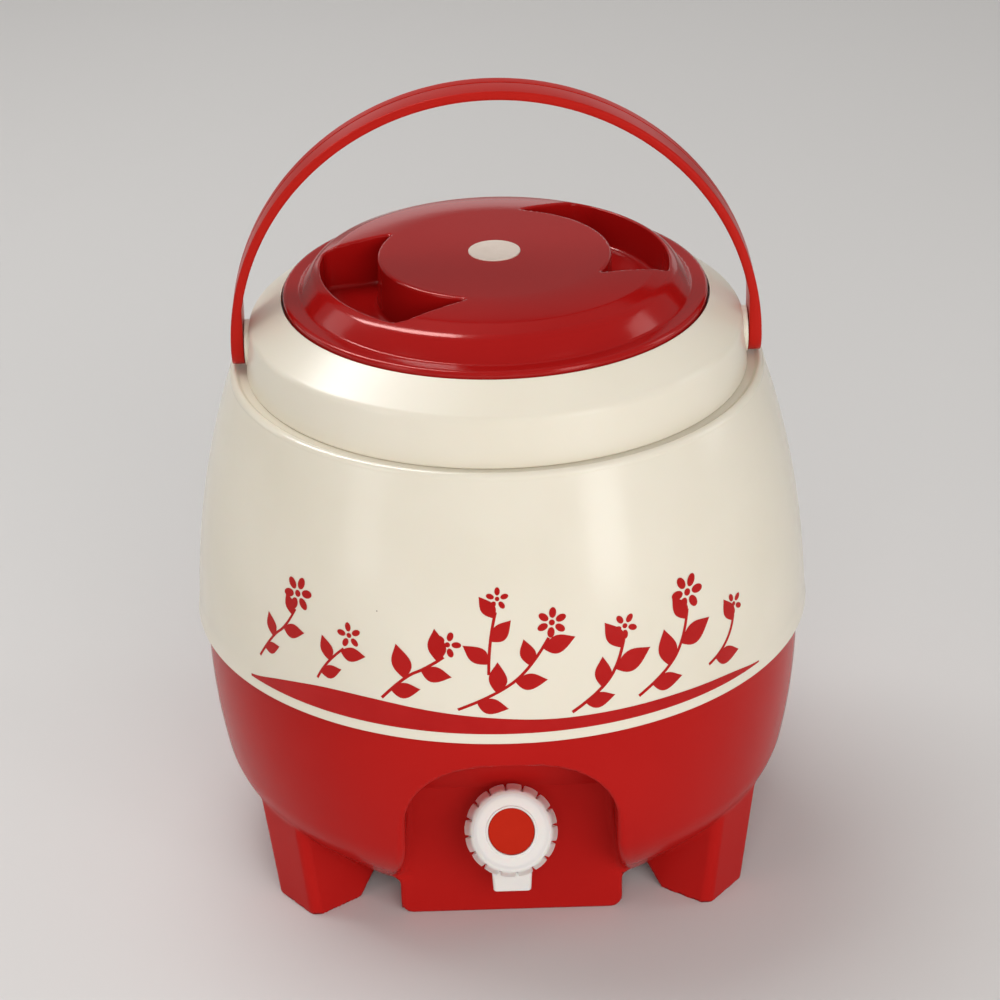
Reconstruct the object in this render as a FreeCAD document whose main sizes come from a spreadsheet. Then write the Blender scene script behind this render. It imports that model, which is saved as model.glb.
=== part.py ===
import FreeCAD, Part
import math
import os
from types import SimpleNamespace

import Sketcher
from FreeCAD import Placement, Rotation, Vector

# Insulated water jug, in millimetres. It stands on the floor at z = 0 with its axis on Z.
# The tap is at the front, towards -Y, and the handle swings about an axis along X.

SIZES = {
    # cream barrel
    "lip_radius": 170.0,
    "lip_flare": 1.1,
    "lip_depth": 8.5,
    "seam_height": 144.5,
    "barrel_mid_radius": 162.8,
    "barrel_mid_height": 212.5,
    "shoulder_radius": 144.8,
    "shoulder_height": 287.3,
    "shoulder_round": 3.4,
    "shoulder_rim": 5.4,
    "ledge_drop": 1.7,
    "ledge_width": 21.0,
    "shell_wall": 3.0,
    # red base
    "rim_gap": 1.1,
    "rim_overlap": 13.5,
    "bowl_mid_radius": 163.6,
    "bowl_mid_height": 102.0,
    "bowl_side_radius": 158.8,
    "bowl_side_height": 68.0,
    "bowl_bend_radius": 153.2,
    "bowl_bend_height": 52.5,
    "bowl_turn_radius": 143.0,
    "bowl_turn_height": 40.5,
    "bowl_foot_radius": 121.0,
    "underside_height": 20.0,
    "base_wall": 3.0,
    # legs
    "leg_angle": 37.5,
    "leg_reach": 153.0,
    "leg_heel": 121.0,
    "leg_width": 42.0,
    "leg_round": 7.0,
    "leg_rise": 64.0,
    "leg_sweep": 20.0,
    "leg_draft": 2.0,
    # apron and tap niche
    "panel_depth": 108.0,
    "apron_width": 122.0,
    "apron_round": 7.0,
    "apron_back": 26.0,
    "apron_rise": 50.0,
    "niche_flare_height": 24.0,
    "niche_width": 112.6,
    "niche_side_height": 62.0,
    "arch_spring_height": 84.0,
    "arch_bend_inset": 7.8,
    "arch_bend_height": 107.5,
    "arch_turn_inset": 24.3,
    "arch_turn_height": 122.0,
    "arch_top_height": 127.8,
    # collar
    "collar_radius": 135.5,
    "crease_radius": 132.9,
    "crease_rise": 26.7,
    "crease_round": 9.0,
    "collar_foot_round": 1.6,
    "mouth_radius": 114.9,
    "collar_height": 41.1,
    "mouth_round": 0.9,
    "seat_drop": 11.4,
    "collar_wall": 3.0,
    # tank
    "tank_wall": 2.5,
    "tank_floor_height": 36.0,
    "tank_foot_radius": 107.0,
    "tank_foot_round": 8.0,
    "tank_low_radius": 110.0,
    "tank_low_height": 60.0,
    "tank_belly_radius": 138.0,
    "tank_belly_height": 160.0,
    "tank_top_radius": 118.0,
    "tank_top_drop": 13.6,
    "neck_radius": 104.0,
    "neck_foot_rise": 2.4,
    "tank_flat_depth": 99.0,
    "tank_flat_height": 136.0,
    "neck_gasket_thickness": 0.8,
    "fit_gap": 0.3,
    "foam_gap": 0.2,
    # lid
    "lid_rise": 28.2,
    "lid_wall": 2.5,
    "lid_gap": 1.0,
    "crown_radius": 60.0,
    "crown_drop": 0.8,
    "dome_mid_radius": 80.0,
    "dome_mid_drop": 3.2,
    "dome_edge_radius": 95.3,
    "dome_edge_drop": 7.5,
    "brow_radius": 96.2,
    "brow_drop": 7.9,
    "band_top_radius": 97.1,
    "band_top_drop": 8.5,
    "band_mid_radius": 100.9,
    "band_mid_drop": 12.6,
    "band_radius": 103.8,
    "band_drop": 17.3,
    "brim_drop": 19.1,
    "brim_round": 2.2,
    "gasket_thickness": 2.0,
    "gasket_width": 5.5,
    "skirt_gap": 1.0,
    "island_radius": 62.4,
    "recess_radius": 93.5,
    "recess_depth": 27.8,
    "island_tip_start": 150.5,
    "island_tip_end": 256.5,
    "recess_corner_start": 168.0,
    "recess_corner_end": 237.7,
    "island_tip_start_round": 3.0,
    "recess_corner_start_round": 5.0,
    "recess_corner_end_round": 3.0,
    "island_tip_end_round": 1.5,
    "badge_radius": 13.9,
    "badge_thickness": 1.2,
    "badge_seat": 0.7,
    # lid plug and its thread
    "plug_clearance": 3.6,
    "plug_depth": 24.6,
    "lug_lead": 36.0,
    "lug_engagement": 3.0,
    "lug_root": 3.2,
    "lug_tip": 2.2,
    "lug_root_sink": 0.5,
    "lug_drop": 11.3,
    "neck_lug_rise": 7.0,
    "plug_lug_rise": 2.5,
    "neck_lug_back": 25.0,
    "lug_pitch_gap": 3.0,
    # handle
    "pivot_rise": 13.9,
    "strap_radius": 142.8,
    "strap_width": 23.0,
    "strap_thickness": 5.0,
    "strap_crown": 0.8,
    "strap_groove_place": 2.8,
    "strap_groove_width": 1.4,
    "strap_groove_depth": 0.5,
    "tongue_face": 135.9,
    "hub_face": 135.5,
    "hub_radius": 12.6,
    "peg_radius": 4.5,
    "peg_clearance": 0.05,
    "peg_length": 13.4,
    "bearing_face": 126.5,
    "bearing_radius": 9.0,
    "retainer_radius": 8.5,
    "retainer_thickness": 2.0,
    "retainer_play": 0.2,
    # tap, along the tilted valve axis
    "tap_height": 56.0,
    "tap_tilt": 30.0,
    "seat_depth": 116.7,
    "seat_rise": 3.0,
    "shank_radius": 8.0,
    "shank_clearance": 0.3,
    "shank_end_depth": 82.0,
    "water_bore_radius": 5.0,
    "flange_radius": 18.0,
    "flange_thickness": 3.2,
    "tap_gasket_thickness": 2.0,
    "tap_gasket_radius": 17.0,
    "inner_gasket_radius": 14.5,
    "spacer_radius": 13.0,
    "nut_width": 26.0,
    "nut_height": 8.0,
    "throat_radius": 11.6,
    "throat_length": 14.0,
    "barrel_radius": 10.0,
    "barrel_back": 0.5,
    "barrel_length": 28.0,
    "chamber_radius": 7.0,
    "orifice_radius": 4.5,
    "orifice_length": 6.0,
    "spout_depth": 128.5,
    "spout_top_height": 62.0,
    "spout_foot_height": 30.5,
    "spout_top_width": 24.0,
    "spout_foot_width": 20.4,
    "spout_top_thickness": 18.0,
    "spout_foot_thickness": 13.5,
    "spout_round": 2.0,
    "spout_bore_radius": 4.5,
    "spout_bore_top": 63.0,
    # plunger and knob
    "washer_radius": 5.8,
    "washer_thickness": 2.5,
    "holder_radius": 5.2,
    "holder_thickness": 2.5,
    "stem_neck_radius": 3.0,
    "piston_start": 18.0,
    "piston_end": 26.0,
    "piston_clearance": 0.05,
    "ring_place": 20.5,
    "ring_radius": 0.95,
    "shoulder_end": 28.4,
    "stem_shoulder_radius": 5.0,
    "spigot_radius": 3.0,
    "spigot_clearance": 0.05,
    "hub_thickness": 2.6,
    "hub_play": 0.1,
    "screw_head_radius": 3.5,
    "screw_head_height": 1.5,
    "screw_radius": 1.4,
    "screw_length": 9.0,
    "screw_well_radius": 4.2,
    "knob_radius": 25.0,
    "knob_face_radius": 21.5,
    "knob_face": 35.0,
    "knob_back": 21.0,
    "knob_wall": 2.4,
    "knob_crest_round": 3.5,
    "sleeve_wall": 2.2,
    "sleeve_start": 22.0,
    "cap_radius": 12.4,
    "cap_thickness": 1.4,
    "cap_seat": 32.8,
    "cap_clearance": 0.1,
    "notch_width": 1.7,
    "notch_depth": 2.6,
    "notch_front": 31.5,
    # filling plug in the underside
    "filling_radius": 14.0,
    "filling_head_radius": 17.0,
    "filling_head_thickness": 1.6,
    "filling_depth": 9.0,
}

LOBES = 16
LUG_STARTS = 4

doc = FreeCAD.newDocument("water_jug")
sheet = doc.addObject("Spreadsheet::Sheet", "sizes")
for row, (name, number) in enumerate(SIZES.items(), 1):
    sheet.set(f"A{row}", name)
    sheet.set(f"B{row}", str(number))
    sheet.setAlias(f"B{row}", name)
doc.recompute()


class Size:
    """A size with its present value and the sheet expression that gives it."""

    def __init__(self, value, text):
        self.value = value
        self.text = text

    def __add__(self, other):
        other = as_size(other)
        return Size(self.value + other.value, f"({self.text} + {other.text})")

    def __sub__(self, other):
        other = as_size(other)
        return Size(self.value - other.value, f"({self.text} - {other.text})")

    def __mul__(self, other):
        other = as_size(other)
        return Size(self.value * other.value, f"({self.text} * {other.text})")

    def __truediv__(self, other):
        other = as_size(other)
        return Size(self.value / other.value, f"({self.text} / {other.text})")

    def __neg__(self):
        return Size(-self.value, f"(-1 * {self.text})")

    def __rsub__(self, other):
        return as_size(other) - self


def as_size(thing):
    if isinstance(thing, Size):
        return thing
    return Size(float(thing), f"{float(thing):.9f}")


d = SimpleNamespace(**{name: Size(number, f"sizes.{name}") for name, number in SIZES.items()})


def polar(radius, angle):
    """The point at a radius and an angle in degrees."""
    turn = math.radians(angle.value)
    along = Size(math.cos(turn), f"cos({angle.text})")
    across = Size(math.sin(turn), f"sin({angle.text})")
    return radius * along, radius * across


class Via:
    """A point that the arc to the next corner passes through."""

    def __init__(self, x, y):
        self.x = as_size(x)
        self.y = as_size(y)


def split(path):
    """The corners of a path, and the points on its arcs by the number of the corner they leave."""
    corners = []
    arcs = {}
    for step in path:
        if isinstance(step, Via):
            arcs[len(corners) - 1] = step
        else:
            corners.append([as_size(value) for value in step])
    return corners, arcs


def unit(x, y):
    length = math.hypot(x, y)
    return x / length, y / length


def arc_centre(start, via, finish):
    """Centre of the circle through three points given as number pairs."""
    ax, ay = start
    bx, by = via
    cx, cy = finish
    twice = 2 * (ax * (by - cy) + bx * (cy - ay) + cx * (ay - by))
    a, b, c = ax * ax + ay * ay, bx * bx + by * by, cx * cx + cy * cy
    x = (a * (by - cy) + b * (cy - ay) + c * (ay - by)) / twice
    y = (a * (cx - bx) + b * (ax - cx) + c * (bx - ax)) / twice
    return x, y


def numbers(corner):
    return corner[0].value, corner[1].value


def left_normals(start, via, finish):
    """Unit normals on the left of an edge, at its start and at its end."""
    ax, ay = numbers(start)
    cx, cy = numbers(finish)
    if via is None:
        dx, dy = unit(cx - ax, cy - ay)
        return (-dy, dx), (-dy, dx)
    bx, by = via.x.value, via.y.value
    ox, oy = arc_centre((ax, ay), (bx, by), (cx, cy))
    turns_left = (bx - ax) * (cy - by) - (by - ay) * (cx - bx) > 0
    sign = -1 if turns_left else 1
    first = unit(sign * (ax - ox), sign * (ay - oy))
    last = unit(sign * (cx - ox), sign * (cy - oy))
    return first, last


def moved(path, wall, closed=False):
    """The same path moved to its left by a wall, square to each of its edges."""
    corners, arcs = split(path)
    count = len(corners)
    edges = range(count if closed else count - 1)
    normals = [left_normals(corners[i], arcs.get(i), corners[(i + 1) % count]) for i in edges]
    result = []
    for i, (x, y, *rest) in enumerate(corners):
        before = normals[i - 1][1] if closed or i > 0 else normals[i][0]
        after = normals[i][0] if closed or i < count - 1 else before
        share = 1 + before[0] * after[0] + before[1] * after[1]
        shift_x = (before[0] + after[0]) / share
        shift_y = (before[1] + after[1]) / share
        result.append((x + wall * shift_x, y + wall * shift_y))
        if i in arcs:
            via = arcs[i]
            start, finish = numbers(corners[i]), numbers(corners[(i + 1) % count])
            ox, oy = arc_centre(start, (via.x.value, via.y.value), finish)
            nx, ny = unit(via.x.value - ox, via.y.value - oy)
            if nx * normals[i][0][0] + ny * normals[i][0][1] < 0:
                nx, ny = -nx, -ny
            result.append(Via(via.x + wall * nx, via.y + wall * ny))
    return result


def backwards(path):
    """The same open path run from its end to its start."""
    corners, arcs = split(path)
    result = []
    for i in range(len(corners) - 1, -1, -1):
        result.append(tuple(corners[i]))
        if i - 1 in arcs:
            result.append(arcs[i - 1])
    return result


def eased(path):
    """The path with each corner that has a third value, its radius, turned into an arc."""
    corners, arcs = split(path)
    count = len(corners)
    result = []
    for i, (x, y, *rest) in enumerate(corners):
        if rest:
            here = numbers(corners[i])
            before = numbers(corners[i - 1])
            after = numbers(corners[(i + 1) % count])
            ux, uy = unit(before[0] - here[0], before[1] - here[1])
            vx, vy = unit(after[0] - here[0], after[1] - here[1])
            half = math.acos(max(-1.0, min(1.0, ux * vx + uy * vy))) / 2
            reach = 1 / math.tan(half)
            bx, by = unit(ux + vx, uy + vy)
            depth = 1 / math.sin(half) - 1
            radius = rest[0]
            result.append((x + radius * (ux * reach), y + radius * (uy * reach)))
            result.append(Via(x + radius * (bx * depth), y + radius * (by * depth)))
            result.append((x + radius * (vx * reach), y + radius * (vy * reach)))
        else:
            result.append((x, y))
        if i in arcs:
            result.append(arcs[i])
    return result


def origin_feature(body, role):
    return next(item for item in body.Origin.OriginFeatures if item.Role == role)


def new_body(name):
    return doc.addObject("PartDesign::Body", name)


def new_sketch(body, name, role, offset=None, rise=None):
    """A sketch on one of the body's own planes, moved off it by offset and up in it by rise."""
    sketch = body.newObject("Sketcher::SketchObject", name)
    sketch.AttachmentSupport = [(origin_feature(body, role), "")]
    sketch.MapMode = "FlatFace"
    if offset is not None:
        sketch.setExpression("AttachmentOffset.Base.z", offset.text)
    if rise is not None:
        sketch.setExpression("AttachmentOffset.Base.y", rise.text)
    return sketch


def pin(sketch, item, place, x, y):
    """Ties one point of the sketch to two sizes."""
    for kind, coordinate, axis in (("DistanceX", x, -2), ("DistanceY", y, -1)):
        if coordinate.text == as_size(0).text:
            sketch.addConstraint(Sketcher.Constraint("PointOnObject", item, place, axis))
            continue
        number = sketch.addConstraint(Sketcher.Constraint(kind, -1, 1, item, place, coordinate.value))
        sketch.setExpression(f"Constraints[{number}]", coordinate.text)


def arc_edge(start, via, finish):
    """An anticlockwise arc through three points, and which of its ends is the start."""
    ox, oy = arc_centre(start, via, finish)
    radius = math.hypot(start[0] - ox, start[1] - oy)
    circle = Part.Circle(Vector(ox, oy, 0), Vector(0, 0, 1), radius)
    first = math.atan2(start[1] - oy, start[0] - ox)
    last = math.atan2(finish[1] - oy, finish[0] - ox)
    bend = (via[0] - start[0]) * (finish[1] - via[1]) - (via[1] - start[1]) * (finish[0] - via[0])
    if bend > 0:
        return Part.ArcOfCircle(circle, first, last), 1, 2
    return Part.ArcOfCircle(circle, last, first), 2, 1


def draw(sketch, path):
    """Closes a path of corners and arcs in the sketch, each point tied to its sizes."""
    corners, arcs = split(path)
    ends = []
    for i, corner in enumerate(corners):
        start, finish = numbers(corner), numbers(corners[(i + 1) % len(corners)])
        if i in arcs:
            via = arcs[i]
            shape, first, last = arc_edge(start, (via.x.value, via.y.value), finish)
            edge = sketch.addGeometry(shape, False)
            mark = sketch.addGeometry(Part.Point(Vector(via.x.value, via.y.value, 0)), True)
            pin(sketch, mark, 1, via.x, via.y)
            sketch.addConstraint(Sketcher.Constraint("PointOnObject", mark, 1, edge))
        else:
            shape = Part.LineSegment(Vector(*start, 0), Vector(*finish, 0))
            edge, first, last = sketch.addGeometry(shape, False), 1, 2
        ends.append((edge, first, last))
    for i, (edge, first, last) in enumerate(ends):
        pin(sketch, edge, first, corners[i][0], corners[i][1])
        after, after_first, _ = ends[(i + 1) % len(ends)]
        sketch.addConstraint(Sketcher.Constraint("Coincident", edge, last, after, after_first))


def draw_circle(sketch, radius, x=0, y=0):
    x, y = as_size(x), as_size(y)
    circle = Part.Circle(Vector(x.value, y.value, 0), Vector(0, 0, 1), radius.value)
    edge = sketch.addGeometry(circle, False)
    pin(sketch, edge, 3, x, y)
    number = sketch.addConstraint(Sketcher.Constraint("Radius", edge, radius.value))
    sketch.setExpression(f"Constraints[{number}]", radius.text)


def turn(body, name, path):
    """A path of (radius, height) turned round the body's Z axis."""
    sketch = new_sketch(body, name + "_outline", "XZ_Plane")
    draw(sketch, path)
    feature = body.newObject("PartDesign::Revolution", name)
    feature.Profile = sketch
    feature.ReferenceAxis = (sketch, ["V_Axis"])
    feature.Angle = 360
    return feature


def turned(name, path):
    body = new_body(name)
    turn(body, name + "_turning", path)
    return body


def pad(body, sketch, length, kind="PartDesign::Pad", both_ways=False, reverse=False):
    feature = body.newObject(kind, sketch.Name + "_run")
    feature.Profile = sketch
    feature.setExpression("Length", length.text)
    feature.Midplane = both_ways
    feature.Reversed = reverse
    return feature


def extruded(name, role, path, start, length):
    """A path on an origin plane, extruded from start over a length along the plane's normal."""
    body = new_body(name)
    sketch = new_sketch(body, name + "_outline", role, offset=start)
    draw(sketch, path)
    pad(body, sketch, length)
    return body


def cylinder(name, radius, length, x=0, y=0, z=0, axis=None, angle=0):
    """A plain cylinder from a point, along Z or turned about an axis by an angle."""
    item = doc.addObject("Part::Cylinder", name)
    item.setExpression("Radius", radius.text)
    item.setExpression("Height", length.text)
    place(item, x, y, z, axis, angle)
    return item


def place(item, x=0, y=0, z=0, axis=None, angle=0):
    """Puts an object at a point, turned about an axis by an angle, all tied to the sheet."""
    angle = as_size(angle)
    item.Placement = Placement(Vector(0, 0, 0), Rotation(axis or Vector(0, 0, 1), angle.value))
    if axis is not None:
        item.setExpression("Placement.Rotation.Angle", angle.text)
    for name, value in (("x", x), ("y", y), ("z", z)):
        item.setExpression(f"Placement.Base.{name}", as_size(value).text)


def joined(name, *items):
    result = doc.addObject("Part::MultiFuse", name)
    result.Shapes = list(items)
    return result


def shared(name, *items):
    result = doc.addObject("Part::MultiCommon", name)
    result.Shapes = list(items)
    return result


def less(name, base, *tools):
    """The base with the tools cut out of it."""
    tool = tools[0] if len(tools) == 1 else joined(name + "_tools", *tools)
    result = doc.addObject("Part::Cut", name)
    result.Base = base
    result.Tool = tool
    return result


ALONG_X = Vector(0, 1, 0)
TO_FRONT = Vector(1, 0, 0)

# Heights and radii that several pieces share.
ledge_height = d.shoulder_height - d.ledge_drop
crease_height = ledge_height + d.crease_rise
mouth_height = ledge_height + d.collar_height
seat_height = mouth_height - d.seat_drop
pivot_height = ledge_height + d.pivot_rise
tank_top_height = ledge_height - d.tank_top_drop
neck_foot_height = ledge_height + d.neck_foot_rise
bowl_rim_radius = d.lip_radius - d.lip_flare - d.shell_wall - d.rim_gap
rim_top = d.seam_height + d.rim_overlap
ledge_outer = d.shoulder_radius - d.shoulder_rim
ledge_inner = ledge_outer - d.ledge_width + d.ledge_drop
neck_outer = d.neck_radius + d.tank_wall
neck_weld_height = neck_foot_height + d.tank_wall
flange_top = seat_height + d.neck_gasket_thickness + d.tank_wall
lid_seat = flange_top + d.gasket_thickness
lid_height = lid_seat + d.lid_rise
recess_floor = lid_height - d.recess_depth
plug_radius = d.neck_radius - d.plug_clearance
plug_floor = lid_seat - d.plug_depth
brim_radius = d.mouth_radius - d.lid_gap
panel_back = d.panel_depth - d.base_wall
piston_radius = d.chamber_radius - d.piston_clearance


# The red base: bowl, legs, apron and niche are one moulding of even wall.


def bowl_path():
    """Outside of the bowl from the axis to its rim, as radius and height."""
    return [
        (0, d.underside_height),
        (d.bowl_foot_radius, d.underside_height),
        (d.bowl_turn_radius, d.bowl_turn_height),
        Via(d.bowl_bend_radius, d.bowl_bend_height),
        (d.bowl_side_radius, d.bowl_side_height),
        Via(d.bowl_mid_radius, d.bowl_mid_height),
        (bowl_rim_radius, d.seam_height),
        (bowl_rim_radius, rim_top),
    ]


def leg(name, angle, hand, wall):
    """One leg, smaller all round by a wall: a loft from its sole into the bowl that sweeps to the side."""
    body = new_body(name)
    heel_shift = wall * math.sqrt(2)
    sections = []
    levels = (("sole", wall, as_size(0), as_size(0)), ("top", d.leg_rise, d.leg_sweep, d.leg_draft))
    for level, rise, sweep, draft in levels:
        sketch = new_sketch(body, f"{name}_{level}", "XY_Plane", offset=rise)
        heel = d.leg_heel - rise + heel_shift
        toe = d.leg_reach - wall
        half = d.leg_width / 2 - draft - wall
        low, high = sweep * hand - half, sweep * hand + half
        bend = d.leg_round - wall
        draw(sketch, eased([(heel, low), (toe, low, bend), (toe, high, bend), (heel, high)]))
        sections.append(sketch)
    loft = body.newObject("PartDesign::AdditiveLoft", name + "_loft")
    loft.Profile = sections[0]
    loft.Sections = sections[1:]
    loft.Ruled = True
    place(body, axis=Vector(0, 0, 1), angle=angle)
    return body


def apron_block(name, wall):
    """The flat-faced block under the niche, smaller all round by a wall."""
    half = d.apron_width / 2 - wall
    foot = wall
    round_by = d.apron_round - wall
    top_half = d.niche_width / 2 - wall
    path = [
        (-half, foot, round_by),
        (half, foot, round_by),
        (half, d.niche_flare_height),
        (top_half, d.apron_rise),
        (-top_half, d.apron_rise),
        (-half, d.niche_flare_height),
    ]
    depth = d.apron_back - wall * 2
    start = d.panel_depth - d.apron_back + wall
    return extruded(name, "XZ_Plane", eased(path), start, depth)


def niche_path():
    """The arched opening in the bowl's front, open downwards past the floor."""
    foot = d.apron_width / 2
    side = d.niche_width / 2
    below = -d.underside_height
    right = [
        (foot, below),
        (foot, d.niche_flare_height),
        (side, d.niche_side_height),
        (side, d.arch_spring_height),
        Via(side - d.arch_bend_inset, d.arch_bend_height),
        (side - d.arch_turn_inset, d.arch_turn_height),
        Via(0, d.arch_top_height),
    ]
    left = [
        (d.arch_turn_inset - side, d.arch_turn_height),
        Via(d.arch_bend_inset - side, d.arch_bend_height),
        (-side, d.arch_spring_height),
        (-side, d.niche_side_height),
        (-foot, d.niche_flare_height),
        (-foot, below),
    ]
    return right + left


def leg_angles():
    """Each leg's name, its angle and the hand to which it sweeps."""
    yield "front_right", -d.leg_angle, 1
    yield "back_right", d.leg_angle, -1
    yield "back_left", 180 - d.leg_angle, 1
    yield "front_left", d.leg_angle - 180, -1


def niche_block():
    """The niche with its walls, as a solid that the hollow of the base leaves standing."""
    path = moved(niche_path(), -d.base_wall, closed=True)
    return extruded("niche_block", "XZ_Plane", path, panel_back, d.lip_radius)


def make_base_shell(block):
    top = [(0, rim_top)]
    outside = [turned("bowl_form", bowl_path() + top), apron_block("apron_form", as_size(0))]
    inside_path = moved(bowl_path(), d.base_wall)
    inside_top = [(bowl_rim_radius - d.base_wall, rim_top + d.base_wall), (0, rim_top + d.base_wall)]
    inside = [turned("bowl_hollow", inside_path + inside_top), apron_block("apron_hollow", d.base_wall)]
    for side, angle, hand in leg_angles():
        outside.append(leg(f"leg_{side}", angle, hand, as_size(0)))
        inside.append(leg(f"leg_hollow_{side}", angle, hand, d.base_wall))
    form = joined("base_form", *outside)
    hollow = less("base_hollow", joined("base_inside", *inside), block)
    niche = extruded("niche_opening", "XZ_Plane", niche_path(), d.panel_depth, d.lip_radius)
    hole = cylinder("tap_hole", d.shank_radius + d.shank_clearance, d.base_wall * 3,
                    y=d.base_wall - panel_back, z=d.tap_height, axis=TO_FRONT, angle=90)
    filling = cylinder("filling_hole", d.filling_radius + d.fit_gap, d.base_wall * 2,
                       z=d.underside_height - d.base_wall / 2)
    return less("base_shell", form, hollow, niche, hole, filling)


def make_foam_plug():
    head = d.underside_height - d.filling_head_thickness
    top = d.underside_height + d.filling_depth
    inner = d.filling_radius - d.base_wall
    return turned("foam_plug", [
        (0, head),
        (d.filling_head_radius, head),
        (d.filling_head_radius, d.underside_height),
        (d.filling_radius, d.underside_height),
        (d.filling_radius, top),
        (inner, top),
        (inner, d.underside_height + d.filling_head_thickness),
        (0, d.underside_height + d.filling_head_thickness),
    ])


# The cream barrel over the bowl's rim, with the ledge that carries the collar.


def make_upper_shell():
    low = d.lip_radius - d.lip_flare
    low_height = d.seam_height + d.lip_depth
    side_height = d.shoulder_height - d.shoulder_round
    return turned("upper_shell", [
        (d.lip_radius, d.seam_height),
        (low, low_height),
        Via(d.barrel_mid_radius, d.barrel_mid_height),
        (d.shoulder_radius, side_height),
        Via(d.shoulder_radius - d.shoulder_round * 0.29, d.shoulder_height - d.shoulder_round * 0.29),
        (d.shoulder_radius - d.shoulder_round, d.shoulder_height),
        (ledge_outer, ledge_height),
        (ledge_inner, ledge_height),
        (ledge_inner, ledge_height - d.shell_wall),
        (d.shoulder_radius - d.shell_wall, ledge_height - d.shell_wall),
        Via(d.barrel_mid_radius - d.shell_wall, d.barrel_mid_height),
        (low - d.shell_wall, low_height),
        (d.lip_radius - d.shell_wall, d.seam_height),
    ])


# The collar on the ledge, with its inward seat for the tank's rim and two handle bearings.


def make_neck_collar():
    outside = [
        (d.collar_radius, ledge_height),
        (d.crease_radius, crease_height),
        (d.mouth_radius, mouth_height),
        (d.mouth_radius, seat_height),
        (neck_outer + d.lid_gap, seat_height),
    ]
    inside = backwards(moved(outside, d.collar_wall))
    rounds = [d.collar_foot_round, d.crease_round, d.mouth_round]
    outside = [(x, y, r) for (x, y), r in zip(outside, rounds)] + outside[3:]
    foot = [(inside[-1][0], as_size(ledge_height))]
    body = new_body("neck_collar")
    turn(body, "collar_turning", eased(outside + inside[:-1] + foot))
    boss = new_sketch(body, "bearing_outline", "YZ_Plane", offset=d.bearing_face)
    draw_circle(boss, d.bearing_radius, 0, pivot_height)
    bearing = pad(body, boss, d.collar_radius - d.collar_wall - d.bearing_face)
    inside = d.crease_radius - d.collar_wall
    disc = new_sketch(body, "hub_outline", "YZ_Plane", offset=inside)
    draw_circle(disc, d.hub_radius, 0, pivot_height)
    hub = pad(body, disc, d.hub_face - inside)
    pair = body.newObject("PartDesign::Mirrored", "bearing_pair")
    pair.Originals = [bearing, hub]
    pair.MirrorPlane = (origin_feature(body, "YZ_Plane"), [""])
    body.Tip = pair
    doc.recompute()
    bore = new_sketch(body, "bearing_bore", "YZ_Plane")
    draw_circle(bore, d.peg_radius + d.peg_clearance, 0, pivot_height)
    pad(body, bore, d.collar_radius * 3, kind="PartDesign::Pocket", both_ways=True)
    return body


# The tank hangs by its rim in the collar. Its front is flat behind the niche, for the tap.


def tank_path():
    """Outside of the tank from the axis up to the neck."""
    return [
        (0, d.tank_floor_height),
        (d.tank_foot_radius, d.tank_floor_height, d.tank_foot_round),
        (d.tank_low_radius, d.tank_low_height),
        Via(d.tank_belly_radius, d.tank_belly_height),
        (d.tank_top_radius, tank_top_height),
        (neck_outer, neck_foot_height),
    ]


def tank_body(name, wall, top):
    """The tank's form, smaller by a wall, with its flat front and a straight neck up to top."""
    path = eased([(0, top)] + tank_path())[1:] + [(neck_outer, top)]
    if wall.value:
        path = moved(path, wall)
    form = turned(name + "_form", path + [(0, top)])
    front = doc.addObject("Part::Box", name + "_front")
    front.setExpression("Length", (d.lip_radius * 2).text)
    front.setExpression("Width", d.lip_radius.text)
    front.setExpression("Height", (d.tank_flat_height + wall).text)
    place(front, x=-d.lip_radius, y=wall - d.tank_flat_depth - d.lip_radius)
    return less(name, form, front)


def lug(body, name, root, tip, height, rise):
    """A short thread lug on the body's axis, tapering from its root radius to its tip."""
    sketch = new_sketch(body, name + "_outline", "XZ_Plane")
    draw(sketch, [
        (root, height - d.lug_root / 2),
        (tip, height - d.lug_tip / 2),
        (tip, height + d.lug_tip / 2),
        (root, height + d.lug_root / 2),
    ])
    helix = body.newObject("PartDesign::AdditiveHelix", name)
    helix.Profile = sketch
    helix.ReferenceAxis = (sketch, ["V_Axis"])
    helix.Mode = "pitch-height-angle"
    helix.setExpression("Pitch", d.lug_lead.text)
    helix.setExpression("Height", rise.text)
    doc.recompute()
    ring = body.newObject("PartDesign::PolarPattern", name + "_ring")
    ring.Originals = [helix]
    ring.Axis = (origin_feature(body, "Z_Axis"), [""])
    ring.Angle = 360
    ring.Occurrences = LUG_STARTS
    body.Tip = ring
    return ring


def make_neck_lugs():
    body = new_body("neck_lugs")
    height = lid_seat - d.lug_drop - d.lug_lead * d.neck_lug_back / 360
    height = height + d.lug_pitch_gap - d.gasket_thickness
    lug(body, "neck_lug", d.neck_radius + d.lug_root_sink, d.neck_radius - d.lug_engagement,
        height, d.neck_lug_rise)
    place(body, axis=Vector(0, 0, 1), angle=-d.neck_lug_back)
    return body


def make_inner_tank(outside):
    inside = tank_body("tank_inside", d.tank_wall, flange_top + d.tank_wall)
    hole = cylinder("tank_hole", d.shank_radius + d.shank_clearance, d.tank_wall * 6,
                    y=d.tank_wall * 3 - d.tank_flat_depth, z=d.tap_height, axis=TO_FRONT, angle=90)
    neck_space = cylinder("neck_space", d.lip_radius, flange_top, z=neck_weld_height)
    return less("inner_tank", outside, inside, hole, neck_space)


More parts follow.
